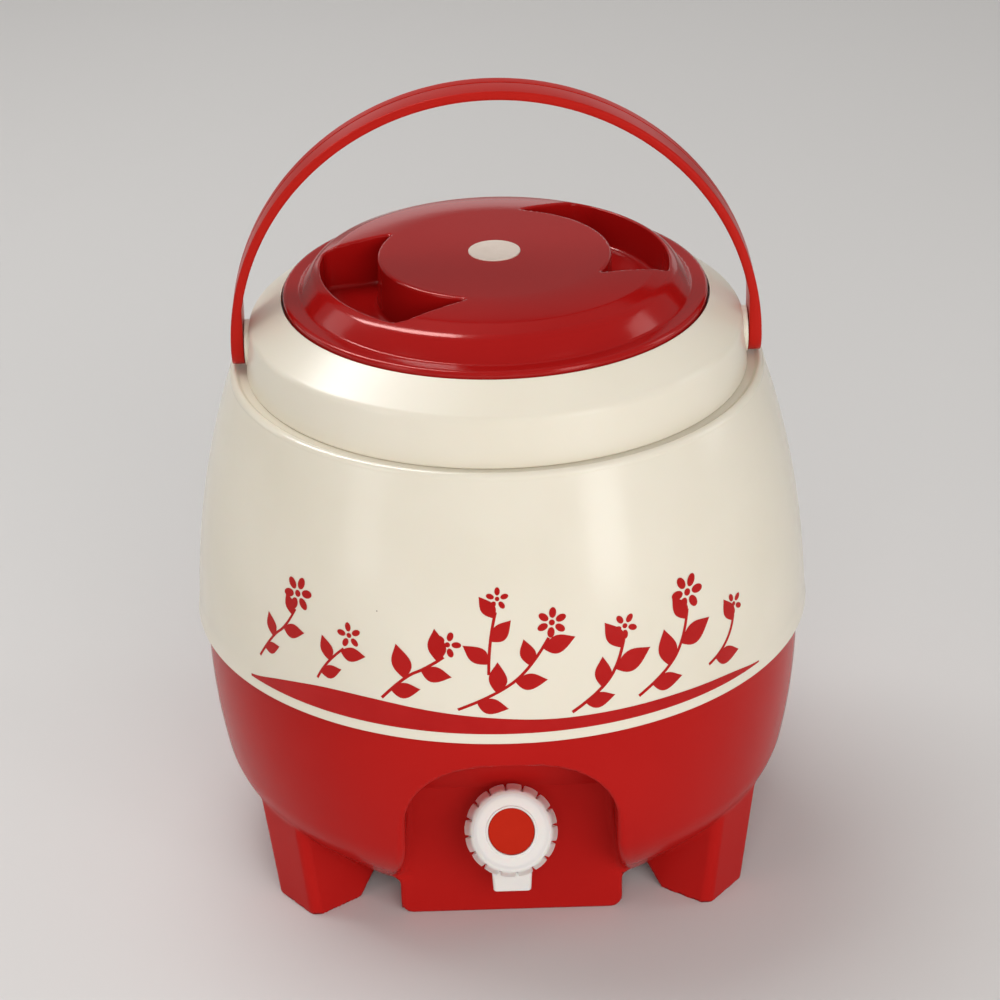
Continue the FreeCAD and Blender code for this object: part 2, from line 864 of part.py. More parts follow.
def make_neck_ring():
    """The ring welded on top of the tank: neck, rim and thread lugs."""
    ring = turned("neck_ring_form", [
        (d.neck_radius, neck_weld_height),
        (neck_outer, neck_weld_height),
        (neck_outer, flange_top - d.tank_wall),
        (d.mouth_radius - d.fit_gap, flange_top - d.tank_wall),
        (d.mouth_radius - d.fit_gap, flange_top),
        (d.neck_radius, flange_top),
    ])
    return joined("neck_ring", ring, make_neck_lugs())


def make_neck_gasket():
    return turned("neck_gasket", [
        (neck_outer + d.lid_gap, seat_height),
        (d.mouth_radius - d.fit_gap, seat_height),
        (d.mouth_radius - d.fit_gap, seat_height + d.neck_gasket_thickness),
        (neck_outer + d.lid_gap, seat_height + d.neck_gasket_thickness),
    ])


def make_body_foam(tank, block):
    """Insulation that fills the space between the tank and the two shells."""
    inset = d.base_wall + d.foam_gap
    above_rim = rim_top + inset
    low = turned("foam_low", moved(bowl_path(), inset)[:-1] + [
        (bowl_rim_radius - inset, above_rim),
        (0, above_rim),
    ])
    side_inset = d.shell_wall + d.foam_gap
    side_foot = d.seam_height + d.lip_depth - d.foam_gap
    top_height = ledge_height - side_inset
    side = turned("foam_side", [
        (0, side_foot),
        (d.lip_radius - d.lip_flare - side_inset, side_foot),
        Via(d.barrel_mid_radius - side_inset, d.barrel_mid_height - d.foam_gap),
        (d.shoulder_radius - side_inset, top_height),
        (0, top_height),
    ])
    rim_space = cylinder("rim_space", d.lip_radius, rim_top + d.foam_gap)
    form = joined("foam_form", low, less("foam_high", side, rim_space))
    keep_out = cylinder("spacer_hole", d.spacer_radius + d.foam_gap, d.panel_depth / 2,
                        y=-d.tank_flat_depth / 2 - d.panel_depth / 4, z=d.tap_height,
                        axis=TO_FRONT, angle=90)
    filling = cylinder("filling_space", d.filling_radius + d.foam_gap, d.filling_depth + d.foam_gap,
                       z=d.underside_height)
    return less("body_foam", form, tank, block, keep_out, filling)


# The lid: a top moulding with two finger recesses, foam, and a screw-in underside.


def crown_path():
    """Outside of the lid from its centre to the foot of the convex band."""
    top = lid_height
    return [
        (0, top),
        (d.crown_radius, top - d.crown_drop),
        Via(d.dome_mid_radius, top - d.dome_mid_drop),
        (d.dome_edge_radius, top - d.dome_edge_drop),
        Via(d.brow_radius, top - d.brow_drop),
        (d.band_top_radius, top - d.band_top_drop),
        Via(d.band_mid_radius, top - d.band_mid_drop),
        (d.band_radius, top - d.band_drop),
    ]


def crown_inside(path, inset):
    """The lid's outside moved inwards, its first point back on the axis."""
    inner = moved(path, -inset)
    return [(0, inner[0][1])] + inner[1:]


def recess_path():
    """One finger recess seen from above: a crescent between the island and the rim."""
    middle = (d.recess_corner_start + d.recess_corner_end) / 2
    island_middle = (d.island_tip_start + d.island_tip_end) / 2
    return [
        polar(d.island_radius, d.island_tip_start),
        polar(d.recess_radius, d.recess_corner_start),
        Via(*polar(d.recess_radius, middle)),
        polar(d.recess_radius, d.recess_corner_end),
        polar(d.island_radius, d.island_tip_end),
        Via(*polar(d.island_radius, island_middle)),
    ]


def round_upright(body, corner, radius):
    """Rounds the body's upright edge at one corner of its outline."""
    doc.recompute()
    base = body.Tip
    for number, edge in enumerate(base.Shape.Edges, 1):
        ends = [vertex.Point for vertex in edge.Vertexes]
        if all(math.hypot(end.x - corner[0], end.y - corner[1]) < 0.01 for end in ends):
            fillet = body.newObject("PartDesign::Fillet", f"{body.Name}_round")
            fillet.Base = (base, [f"Edge{number}"])
            fillet.setExpression("Radius", radius.text)
            return fillet
    raise SystemExit(f"{body.Name} has no upright edge at its corner")


def recess_pair(name, path, floor, wall):
    """Both recesses as solids from their floor up past the top of the lid."""
    body = extruded(name, "XY_Plane", path, floor, lid_height - floor + d.lid_wall)
    features = [body.Tip]
    corners = [numbers(corner) for corner in split(path)[0]]
    rounds = (d.island_tip_start_round, d.recess_corner_start_round,
              d.recess_corner_end_round, d.island_tip_end_round)
    for corner, radius in zip(corners, rounds):
        features.append(round_upright(body, corner, radius + wall))
    doc.recompute()
    pair = body.newObject("PartDesign::PolarPattern", name + "_pair")
    pair.Originals = features
    pair.Axis = (origin_feature(body, "Z_Axis"), [""])
    pair.Angle = 360
    pair.Occurrences = 2
    body.Tip = pair
    return body


def make_lid_top(pockets):
    skirt = lid_seat - d.skirt_gap
    brim_height = lid_height - d.brim_drop
    brim = [(d.band_radius, brim_height), (brim_radius, brim_height)]
    pocket_floor = recess_floor - d.lid_wall
    outside = crown_path() + [brim[0]] + eased([brim[0], (*brim[1], d.brim_round), (brim_radius, skirt)])[1:-1]
    form = turned("lid_form", outside + [
        (brim_radius, skirt),
        (brim_radius - d.lid_wall, skirt),
        (brim_radius - d.lid_wall, pocket_floor),
        (0, pocket_floor),
    ])
    inside = crown_inside(crown_path() + brim + [(brim_radius, skirt)], d.lid_wall)
    hollow = turned("lid_hollow", inside[:-1] + [
        (brim_radius - d.lid_wall, skirt - d.lid_wall),
        (0, skirt - d.lid_wall),
    ])
    recesses = recess_pair("recess_openings", recess_path(), recess_floor, as_size(0))
    seat = cylinder("badge_seat_cut", d.badge_radius + d.foam_gap / 4, d.badge_thickness * 2,
                    z=lid_height - d.badge_seat)
    return less("lid_top", form, less("lid_inside", hollow, pockets), recesses, seat)


def make_lid_badge():
    return cylinder("lid_badge", d.badge_radius, d.badge_thickness, z=lid_height - d.badge_seat)


def make_lid_inner_cover():
    """The cup that closes the lid from below and screws into the neck."""
    rim = brim_radius - d.lid_wall - d.foam_gap
    body = new_body("lid_inner_cover")
    turn(body, "cover_turning", [
        (0, plug_floor),
        (plug_radius, plug_floor),
        (plug_radius, lid_seat),
        (rim, lid_seat),
        (rim, lid_seat + d.lid_wall),
        (plug_radius - d.lid_wall, lid_seat + d.lid_wall),
        (plug_radius - d.lid_wall, plug_floor + d.lid_wall),
        (0, plug_floor + d.lid_wall),
    ])
    lug(body, "plug_lug", plug_radius - d.lug_root_sink, plug_radius + d.lug_engagement,
        lid_seat - d.lug_drop - d.gasket_thickness, d.plug_lug_rise)
    return body


def make_lid_foam(pockets):
    inset = d.lid_wall + d.foam_gap
    crown = backwards(crown_inside(crown_path()[:4], inset))
    side = plug_radius - inset
    form = turned("lid_foam_form", [
        (0, plug_floor + inset),
        (side, plug_floor + inset),
        (side, lid_seat + inset),
    ] + crown)
    return less("lid_foam", form, pockets)


def make_lid_gasket():
    outer = brim_radius - d.lid_wall - d.foam_gap
    return turned("lid_gasket", [
        (outer - d.gasket_width, flange_top),
        (outer, flange_top),
        (outer, lid_seat),
        (outer - d.gasket_width, lid_seat),
    ])


# The handle: a half-round strap with flat tongues and pegs in the collar's bearings.


def make_bail_handle():
    half = d.strap_width / 2
    inner = d.strap_radius - d.strap_thickness
    arch = new_body("strap_arch")
    section = new_sketch(arch, "strap_section", "YZ_Plane", rise=pivot_height)
    flat = half - d.strap_crown
    middle = d.strap_radius - d.strap_thickness / 2
    groove = d.strap_groove_place + d.strap_groove_width
    groove_floor = d.strap_radius - d.strap_groove_depth
    draw(section, [
        (-flat, inner),
        (flat, inner),
        Via(half, middle),
        (flat, d.strap_radius),
        (groove, d.strap_radius),
        (groove, groove_floor),
        (d.strap_groove_place, groove_floor),
        (d.strap_groove_place, d.strap_radius),
        (-flat, d.strap_radius),
        Via(-half, middle),
    ])
    bend = arch.newObject("PartDesign::Revolution", "strap_bend")
    bend.Profile = section
    bend.ReferenceAxis = (section, ["H_Axis"])
    bend.Angle = 180
    bend.Midplane = True
    tongue = new_body("tongue_bar")
    outline = new_sketch(tongue, "tongue_outline", "YZ_Plane", rise=pivot_height)
    draw(outline, [(half, 0), (half, half * 2), (-half, half * 2), (-half, 0), Via(0, -half)])
    pad(tongue, outline, d.strap_radius * 2, both_ways=True)
    gap = doc.addObject("Part::Box", "tongue_gap")
    gap.setExpression("Length", (d.tongue_face * 2).text)
    gap.setExpression("Width", (half * 4).text)
    gap.setExpression("Height", (half * 8).text)
    place(gap, x=-d.tongue_face, y=-half * 2, z=pivot_height - half * 4)
    drum = cylinder("strap_drum", d.strap_radius, d.strap_width, y=half, z=pivot_height,
                    axis=TO_FRONT, angle=90)
    tongues = shared("tongues", less("tongue_pair", tongue, gap), drum)
    pegs = []
    for side, angle in (("right", 90), ("left", -90)):
        sign = 1 if angle > 0 else -1
        start = (d.tongue_face - d.peg_length) * sign
        pegs.append(cylinder(f"peg_{side}", d.peg_radius, d.peg_length + d.strap_thickness / 2,
                             x=start, z=pivot_height, axis=ALONG_X, angle=angle))
    return joined("bail_handle", arch, tongues, *pegs)


def make_retainer(side, sign):
    """A push-on ring on the end of a peg, just inside the collar's bearing."""
    body = turned(f"handle_retainer_{side}", [
        (d.peg_radius, 0),
        (d.retainer_radius, 0),
        (d.retainer_radius, d.retainer_thickness),
        (d.peg_radius, d.retainer_thickness),
    ])
    start = d.bearing_face - d.retainer_play - d.retainer_thickness
    place(body, x=start * sign, z=pivot_height, axis=ALONG_X, angle=90 * sign)
    return body


# The tap. The shank runs level through both walls; the valve axis leans up towards the front.


def on_valve_axis(item):
    """Puts an object made along Z on the valve axis, with its start at the valve seat."""
    place(item, y=-d.seat_depth, z=d.tap_height + d.seat_rise, axis=TO_FRONT, angle=90 - d.tap_tilt)
    return item


def level_ring(name, outer, inner, front, length):
    """A ring on the level shank, from its front depth back towards the tank."""
    body = turned(name, [(inner, 0), (outer, 0), (outer, length), (inner, length)])
    place(body, y=length - front, z=d.tap_height, axis=TO_FRONT, angle=90)
    return body


def along_valve(name, radius, start, finish):
    """A cylinder on the valve axis between two distances from the seat."""
    body = new_body(name)
    sketch = new_sketch(body, name + "_outline", "XY_Plane", offset=start)
    draw_circle(sketch, radius)
    pad(body, sketch, finish - start)
    return on_valve_axis(body)


def spout_form():
    body = new_body("spout_form")
    sections = []
    levels = (
        ("foot", d.spout_foot_height, d.spout_foot_width, d.spout_foot_thickness),
        ("top", d.spout_top_height, d.spout_top_width, d.spout_top_thickness),
    )
    for name, level, width, thickness in levels:
        sketch = new_sketch(body, f"spout_{name}", "XY_Plane", offset=level)
        across, front, back = width / 2, -thickness / 2 - d.spout_depth, thickness / 2 - d.spout_depth
        draw(sketch, eased([
            (-across, front, d.spout_round),
            (across, front, d.spout_round),
            (across, back, d.spout_round),
            (-across, back, d.spout_round),
        ]))
        sections.append(sketch)
    loft = body.newObject("PartDesign::AdditiveLoft", "spout_loft")
    loft.Profile = sections[0]
    loft.Sections = sections[1:]
    loft.Ruled = True
    return body


def make_tap_body():
    flange_back = d.panel_depth + d.tap_gasket_thickness
    flange_front = flange_back + d.flange_thickness
    level = {"z": d.tap_height, "axis": TO_FRONT, "angle": 90}
    flange = cylinder("tap_flange", d.flange_radius, d.flange_thickness, y=-flange_back, **level)
    shank = cylinder("tap_shank", d.shank_radius, flange_front - d.shank_end_depth,
                     y=-d.shank_end_depth, **level)
    throat = cylinder("tap_throat", d.throat_radius, d.throat_length, y=-flange_back, **level)
    barrel = along_valve("tap_barrel", d.barrel_radius, -d.barrel_back, d.barrel_length)
    solid = joined("tap_form", flange, shank, throat, barrel, spout_form())
    water = cylinder("water_bore", d.water_bore_radius, d.seat_depth - d.shank_end_depth + d.orifice_radius / 2,
                     y=d.shank_clearance - d.shank_end_depth, **level)
    orifice = along_valve("seat_orifice", d.orifice_radius, -d.orifice_length, d.washer_thickness)
    chamber = along_valve("valve_chamber", d.chamber_radius, as_size(0), d.barrel_length * 2)
    outlet = cylinder("spout_bore", d.spout_bore_radius, d.spout_bore_top, y=-d.spout_depth)
    return less("tap_body", solid, water, orifice, chamber, outlet)


def make_tap_nut():
    """A hexagonal nut inside the tank."""
    front = d.tank_flat_depth - d.tank_wall - d.tap_gasket_thickness
    body = new_body("tap_nut")
    sketch = new_sketch(body, "nut_outline", "XY_Plane")
    corner = d.nut_width / math.sqrt(3)
    draw(sketch, [polar(corner, as_size(60 * step)) for step in range(6)])
    pad(body, sketch, d.nut_height)
    doc.recompute()
    bore = new_sketch(body, "nut_bore", "XY_Plane")
    draw_circle(bore, d.shank_radius)
    pad(body, bore, d.nut_height, kind="PartDesign::Pocket", reverse=True)
    place(body, y=d.nut_height - front, z=d.tap_height, axis=TO_FRONT, angle=90)
    return body


def make_valve_stem():
    """The plunger: washer holder, neck, piston with its ring groove, shoulder and spigot."""
    groove = piston_radius - d.ring_radius * 2
    holder_end = d.washer_thickness + d.holder_thickness
    spigot_end = d.shoulder_end + d.hub_thickness + d.hub_play * 2
    return on_valve_axis(turned("valve_stem", [
        (0, d.washer_thickness),
        (d.holder_radius, d.washer_thickness),
        (d.holder_radius, holder_end),
        (d.stem_neck_radius, holder_end),
        (d.stem_neck_radius, d.piston_start),
        (piston_radius, d.piston_start),
        (piston_radius, d.ring_place - d.ring_radius),
        (groove, d.ring_place - d.ring_radius),
        (groove, d.ring_place + d.ring_radius),
        (piston_radius, d.ring_place + d.ring_radius),
        (piston_radius, d.piston_end),
        (d.stem_shoulder_radius, d.piston_end),
        (d.stem_shoulder_radius, d.shoulder_end),
        (d.spigot_radius, d.shoulder_end),
        (d.spigot_radius, spigot_end),
        (d.screw_radius, spigot_end),
        (d.screw_radius, spigot_end - d.screw_length),
        (0, spigot_end - d.screw_length),
    ]))


def make_valve_washer():
    return on_valve_axis(turned("valve_washer", [
        (0, 0),
        (d.washer_radius, 0),
        (d.washer_radius, d.washer_thickness),
        (0, d.washer_thickness),
    ]))


def make_stem_ring():
    body = new_body("stem_ring")
    sketch = new_sketch(body, "stem_ring_section", "XZ_Plane")
    draw_circle(sketch, d.ring_radius, piston_radius - d.ring_radius, d.ring_place)
    ring = body.newObject("PartDesign::Revolution", "stem_ring_turning")
    ring.Profile = sketch
    ring.ReferenceAxis = (sketch, ["V_Axis"])
    ring.Angle = 360
    return on_valve_axis(body)


def make_knob_screw():
    head = d.shoulder_end + d.hub_thickness + d.hub_play * 2
    return on_valve_axis(turned("knob_screw", [
        (0, head - d.screw_length),
        (d.screw_radius, head - d.screw_length),
        (d.screw_radius, head),
        (d.screw_head_radius, head),
        (d.screw_head_radius, head + d.screw_head_height),
        (0, head + d.screw_head_height),
    ]))


def make_tap_knob():
    """The knob: a crowned face, a flared skirt cut into lobes, and a sleeve on the barrel."""
    hub_back = d.shoulder_end + d.hub_play
    well = hub_back + d.hub_thickness
    sleeve = d.barrel_radius + d.spigot_clearance
    body = new_body("tap_knob")
    turn(body, "knob_turning", eased([
        (d.spigot_radius + d.spigot_clearance, hub_back),
        (sleeve, hub_back),
        (sleeve, d.sleeve_start),
        (sleeve + d.sleeve_wall, d.sleeve_start),
        (sleeve + d.sleeve_wall, d.knob_face - d.knob_wall * 2),
        (d.knob_face_radius - d.knob_wall, d.knob_face - d.knob_wall * 2),
        (d.knob_radius - d.knob_wall, d.knob_back),
        (d.knob_radius, d.knob_back),
        (d.knob_face_radius, d.knob_face, d.knob_crest_round),
        (d.cap_radius + d.cap_clearance, d.knob_face),
        (d.cap_radius + d.cap_clearance, d.cap_seat),
        (d.screw_well_radius, d.cap_seat),
        (d.screw_well_radius, well),
        (d.spigot_radius + d.spigot_clearance, well),
    ]))
    doc.recompute()
    notch = new_sketch(body, "notch_outline", "XY_Plane", offset=d.knob_back)
    half = d.notch_width / 2
    draw(notch, [
        (d.knob_radius - d.notch_depth, -half),
        (d.knob_radius * 1.1, -half),
        (d.knob_radius * 1.1, half),
        (d.knob_radius - d.notch_depth, half),
    ])
    cut = pad(body, notch, d.notch_front - d.knob_back, kind="PartDesign::Pocket", reverse=True)
    ring = body.newObject("PartDesign::PolarPattern", "lobes")
    ring.Originals = [cut]
    ring.Axis = (origin_feature(body, "Z_Axis"), [""])
    ring.Angle = 360
    ring.Occurrences = LOBES
    body.Tip = ring
    return on_valve_axis(body)


def make_knob_cap():
    return along_valve("knob_cap", d.cap_radius, d.cap_seat, d.cap_seat + d.cap_thickness)


def make_all():
    block = niche_block()
    tank = tank_body("tank_outside", as_size(0), flange_top)
    around = moved(recess_path(), -d.lid_wall, closed=True)
    pockets = recess_pair("recess_pockets", around, recess_floor - d.lid_wall, d.lid_wall)
    panel_front = d.panel_depth + d.tap_gasket_thickness
    hole = d.shank_radius + d.shank_clearance
    inner_face = d.tank_flat_depth - d.tank_wall
    return [
        make_base_shell(block),
        make_foam_plug(),
        make_upper_shell(),
        make_neck_collar(),
        make_inner_tank(tank),
        make_neck_ring(),
        make_neck_gasket(),
        make_body_foam(tank, block),
        make_lid_top(pockets),
        make_lid_badge(),
        make_lid_inner_cover(),
        make_lid_foam(pockets),
        make_lid_gasket(),
        make_bail_handle(),
        make_retainer("right", 1),
        make_retainer("left", -1),
        make_tap_body(),
        level_ring("tap_outer_gasket", d.tap_gasket_radius, hole, panel_front, d.tap_gasket_thickness),
        level_ring("tap_spacer", d.spacer_radius, hole, panel_back, panel_back - d.tank_flat_depth),
        level_ring("tap_inner_gasket", d.inner_gasket_radius, hole, inner_face, d.tap_gasket_thickness),
        make_tap_nut(),
        make_valve_stem(),
        make_valve_washer(),
        make_stem_ring(),
        make_knob_screw(),
        make_tap_knob(),
        make_knob_cap(),
    ]


parts = make_all()
doc.recompute()

faults = [item.Name for item in doc.Objects if {"Invalid", "Error"} & set(item.State)]
for part in parts:
    if part.Shape.isNull() or not part.Shape.isValid():
        faults.append(part.Label)
if faults:
    raise SystemExit("these objects failed: " + ", ".join(faults))

os.makedirs("parts", exist_ok=True)
for part in parts:
    part.Shape.exportStep(f"parts/{part.Label}.step")
    print(f"{part.Label}: {len(part.Shape.Solids)} solid, {part.Shape.Volume / 1000:.1f} cm3")
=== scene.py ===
import math

import bpy
import numpy as np
from mathutils import Matrix, Vector


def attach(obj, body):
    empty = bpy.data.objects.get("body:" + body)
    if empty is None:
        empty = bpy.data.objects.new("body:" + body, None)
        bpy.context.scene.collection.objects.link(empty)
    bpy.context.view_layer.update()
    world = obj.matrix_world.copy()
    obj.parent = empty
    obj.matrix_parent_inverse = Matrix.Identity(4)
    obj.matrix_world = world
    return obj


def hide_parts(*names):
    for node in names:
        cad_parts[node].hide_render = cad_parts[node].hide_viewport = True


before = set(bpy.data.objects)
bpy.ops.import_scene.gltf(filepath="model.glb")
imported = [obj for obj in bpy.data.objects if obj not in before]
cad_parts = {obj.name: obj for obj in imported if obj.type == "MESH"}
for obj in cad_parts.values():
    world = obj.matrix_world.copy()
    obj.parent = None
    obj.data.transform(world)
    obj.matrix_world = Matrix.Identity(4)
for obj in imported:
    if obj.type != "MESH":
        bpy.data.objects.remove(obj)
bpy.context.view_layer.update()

# The red base is one polypropylene moulding: a round bowl on four stout legs, with a flat apron at
# the front that runs up into an arched niche for the tap. Its edges are all soft. Sizes are in
# millimetres in this file, and in metres in the trees of nodes and in the studio.


def via(across, up):
    """A stop that an arc passes through on its way to the next one."""
    return ("via", across, up)


def arc(start, middle, finish, steps):
    """Points on the circle through three points, without the first one."""
    (ax, ay), (bx, by), (cx, cy) = start, middle, finish
    turn = 2 * (ax * (by - cy) + bx * (cy - ay) + cx * (ay - by))
    aa, bb, cc = ax * ax + ay * ay, bx * bx + by * by, cx * cx + cy * cy
    ox = (aa * (by - cy) + bb * (cy - ay) + cc * (ay - by)) / turn
    oy = (aa * (cx - bx) + bb * (ax - cx) + cc * (bx - ax)) / turn
    first, mid, last = (math.atan2(y - oy, x - ox) for x, y in (start, middle, finish))
    sweep = (last - first) % math.tau
    if (mid - first) % math.tau > sweep:
        sweep -= math.tau
    reach = math.hypot(ax - ox, ay - oy)
    angles = first + sweep * np.arange(1, steps + 1) / steps
    return [(ox + reach * math.cos(a), oy + reach * math.sin(a)) for a in angles]


def trace(*stops, steps=20):
    """A smooth outline through its stops. A stop's third number eases its corner over that reach."""
    points, reaches, middle = [], [], None
    for stop in stops:
        if stop[0] == "via":
            middle = stop[1:]
            continue
        if middle:
            run = arc(points[-1], middle, stop[:2], steps)
            points += run
            reaches += [0] * len(run)
            middle = None
        else:
            points.append(tuple(stop[:2]))
            reaches.append(0)
        reaches[-1] = stop[2] if len(stop) > 2 else 0
    line = np.array(points, float)
    along = np.concatenate([[0], np.cumsum(np.hypot(*np.diff(line, axis=0).T))])

    def at(place):
        return np.array([np.interp(place, along, line[:, 0]), np.interp(place, along, line[:, 1])])

    eased = [(place, [point]) for place, point in zip(along, line)]
    for i, reach in enumerate(reaches):
        if reach:
            low, high = along[i] - reach, along[i] + reach
            before, after = at(low), at(high)
            eased = [item for item in eased if not low < item[0] < high]
            ts = np.linspace(0, 1, 7)[:, None]
            bend = (1 - ts) ** 2 * before + 2 * ts * (1 - ts) * line[i] + ts ** 2 * after
            eased.append((along[i], list(bend)))
    eased.sort(key=lambda item: item[0])
    result = [point for _, group in eased for point in group]
    kept = [result[0]]
    for point in result[1:]:
        if math.dist(point, kept[-1]) > 1e-4:
            kept.append(point)
    return np.array(kept)


def spun(outline, turns=180, closed=False):
    """Points, faces and normals of an outline turned about Z. Its outside is to the right of its run."""
    outline = np.array(outline, float)
    count = len(outline)
    after = np.roll(outline, -1, axis=0) - outline
    if not closed:
        after[-1] = after[-2]
    before = np.roll(after, 1, axis=0)
    if not closed:
        before[0] = after[0]
    weigh = np.hypot(*after.T)[:, None] * after + np.hypot(*before.T)[:, None] * before
    normal = np.stack([weigh[:, 1], -weigh[:, 0]], 1)
    normal /= np.maximum(np.hypot(*normal.T), 1e-9)[:, None]
    angles = np.arange(turns) * math.tau / turns
    points, normals, first, single = [], [], [], []
    for (r, z), (nr, nz) in zip(outline, normal):
        first.append(len(points))
        single.append(abs(r) < 1e-6)
        if single[-1]:
            points.append((0, 0, z))
            normals.append((0, 0, math.copysign(1, nz)))
        else:
            points += [(r * math.cos(a), r * math.sin(a), z) for a in angles]
            normals += [(nr * math.cos(a), nr * math.sin(a), nz) for a in angles]
    faces = []
    for i in range(count if closed else count - 1):
        j = (i + 1) % count
        for k in range(turns):
            m = (k + 1) % turns
            if single[i] and single[j]:
                continue
            if single[i]:
                faces.append((first[i], first[j] + m, first[j] + k))
            elif single[j]:
                faces.append((first[i] + k, first[i] + m, first[j]))
            else:
                faces.append((first[i] + k, first[i] + m, first[j] + m, first[j] + k))
    return np.array(points, float), faces, np.array(normals, float)


def round_or(a, b, r):
    """Union of two fields with a fillet of that radius in the corner between them."""
    return np.maximum(r, np.minimum(a, b)) - np.hypot(np.maximum(r - a, 0), np.maximum(r - b, 0))


def round_and(a, b, r):
    """What two fields share, with the edge between them rounded to that radius."""
    return np.minimum(-r, np.maximum(a, b)) + np.hypot(np.maximum(r + a, 0), np.maximum(r + b, 0))


def skin(field, low, high, cell):
    """Points, faces and normals of the surface on which field(x, y, z) is nought."""
    axes = [np.arange(a, b + cell, cell) for a, b in zip(low, high)]
    grid = np.meshgrid(*(axis.astype(np.float32) for axis in axes), indexing="ij")
    values = np.asarray(field(*grid), np.float32)
    inside = values < 0
    cells = [n - 1 for n in values.shape]
    corners = [(i, j, k) for i in (0, 1) for j in (0, 1) for k in (0, 1)]
    filled = sum(inside[i:i + cells[0], j:j + cells[1], k:k + cells[2]].astype(np.int8)
                 for i, j, k in corners)
    active = (filled > 0) & (filled < 8)
    place = np.argwhere(active)
    number = np.full(active.shape, -1, np.int64)
    number[active] = np.arange(len(place))
    total = np.zeros((len(place), 3))
    crossings = np.zeros(len(place))
    for a in corners:
        for axis in range(3):
            if a[axis]:
                continue
            b = list(a)
            b[axis] = 1
            va = values[tuple((place + a).T)]
            vb = values[tuple((place + b).T)]
            crossed = (va < 0) != (vb < 0)
            share = np.where(crossed, va / np.where(crossed, va - vb, 1), 0)
            spot = np.repeat(np.array(a, float)[None], len(place), 0)
            spot[:, axis] += share
            total += spot * crossed[:, None]
            crossings += crossed
    origin = np.array([axis[0] for axis in axes])
    points = origin + (place + total / crossings[:, None]) * cell

    def slope(p, step):
        return np.stack([(field(*(p + move).T) - field(*(p - move).T)) / (2 * step)
                         for move in np.eye(3) * step], 1)

    for _ in range(4):
        lean = slope(points, 0.02)
        value = field(*points.T)
        shift = (value / np.maximum((lean ** 2).sum(1), 0.05))[:, None] * lean
        size = np.maximum(np.linalg.norm(shift, axis=1, keepdims=True), 1e-9)
        points = points - shift * np.minimum(1, 0.6 * cell / size)
    normals = slope(points, 0.04)
    normals /= np.maximum(np.linalg.norm(normals, axis=1, keepdims=True), 1e-9)
    faces = []
    for axis in range(3):
        other, third = (axis + 1) % 3, (axis + 2) % 3
        shape = list(values.shape)
        first = [slice(None)] * 3
        second = [slice(None)] * 3
        first[axis], second[axis] = slice(0, shape[axis] - 1), slice(1, shape[axis])
        for way in (other, third):
            first[way] = second[way] = slice(1, shape[way] - 1)
        here, there = inside[tuple(first)], inside[tuple(second)]
        for outward in (True, False):
            edge = np.argwhere((here & ~there) if outward else (~here & there))
            edge[:, other] += 1
            edge[:, third] += 1
            ring = []
            for du, dv in ((-1, -1), (0, -1), (0, 0), (-1, 0)):
                spot = edge.copy()
                spot[:, other] += du
                spot[:, third] += dv
                ring.append(number[tuple(spot.T)])
            ring = np.stack(ring if outward else ring[::-1], 1)
            faces += ring.tolist()
    return points, faces, normals


def piece(name, points, faces, finish, normals=None, sharp=35):
    """A mesh object from points in millimetres, smooth, with the finish it is given."""
    mesh = bpy.data.meshes.new(name)
    mesh.from_pydata((np.asarray(points) / 1000).tolist(), [], faces)
    mesh.shade_smooth()
    if normals is None:
        mesh.set_sharp_from_angle(angle=math.radians(sharp))
    else:
        mesh.normals_split_custom_set_from_vertices(np.asarray(normals).tolist())
    mesh.materials.append(finish)
    thing = bpy.data.objects.new(name, mesh)
    bpy.context.scene.collection.objects.link(thing)
    return thing


def gather(*parts):
    """Several sets of points, faces and normals as one."""
    points, faces, normals, start = [], [], [], 0
    for p, f, n in parts:
        points.append(p)
        normals.append(n)
        faces += [tuple(i + start for i in face) for face in f]
        start += len(p)
    return np.concatenate(points), faces, np.concatenate(normals)


def add(tree, kind, inputs=None, **settings):
    """A node with its settings, and with its inputs given as sockets to link or as plain values."""
    node = tree.nodes.new(kind)
    for key, value in settings.items():
        setattr(node, key, value)
    for key, value in (inputs or {}).items():
        socket = node.inputs[key]
        if isinstance(value, bpy.types.NodeSocket):
            tree.links.new(value, socket)
        else:
            socket.default_value = value
    return node


def new_tree(name, kind, inputs, outputs):
    """A node tree with named sockets, with its own input and output nodes."""
    tree = bpy.data.node_groups.new(name, kind)
    for label, socket, default in inputs:
        made = tree.interface.new_socket(label, in_out="INPUT", socket_type=socket)
        if default is not None:
            made.default_value = default
    for label, socket in outputs:
        tree.interface.new_socket(label, in_out="OUTPUT", socket_type=socket)
    return tree, tree.nodes.new("NodeGroupInput").outputs, tree.nodes.new("NodeGroupOutput").inputs


def reckon(tree, operation, *values):
    """The outcome of one step of arithmetic on plain values or sockets."""
    return add(tree, "ShaderNodeMath", dict(enumerate(values)), operation=operation).outputs[0]


# What every moulding of the jug shows close up: faint clouds in the colour, the fine ripple of the
# mould's polish, and hair scuffs from wiping.
moulding, given, result = new_tree(
    "moulded_plastic", "ShaderNodeTree",
    [("Colour", "NodeSocketColor", (0.5, 0.5, 0.5, 1)),
     ("Cloud Colour", "NodeSocketColor", (0.4, 0.4, 0.4, 1)),
     ("Roughness", "NodeSocketFloat", 0.3), ("Cloud Scale", "NodeSocketFloat", 14.0),
     ("Ripple Scale", "NodeSocketFloat", 260.0), ("Scuffs", "NodeSocketFloat", 0.3)],
    [("Colour", "NodeSocketColor"), ("Roughness", "NodeSocketFloat"), ("Height", "NodeSocketFloat")])
spot = add(moulding, "ShaderNodeTexCoord").outputs["Object"]
clouds = add(moulding, "ShaderNodeTexNoise", {"Vector": spot, "Scale": given["Cloud Scale"], "Detail": 3.0})
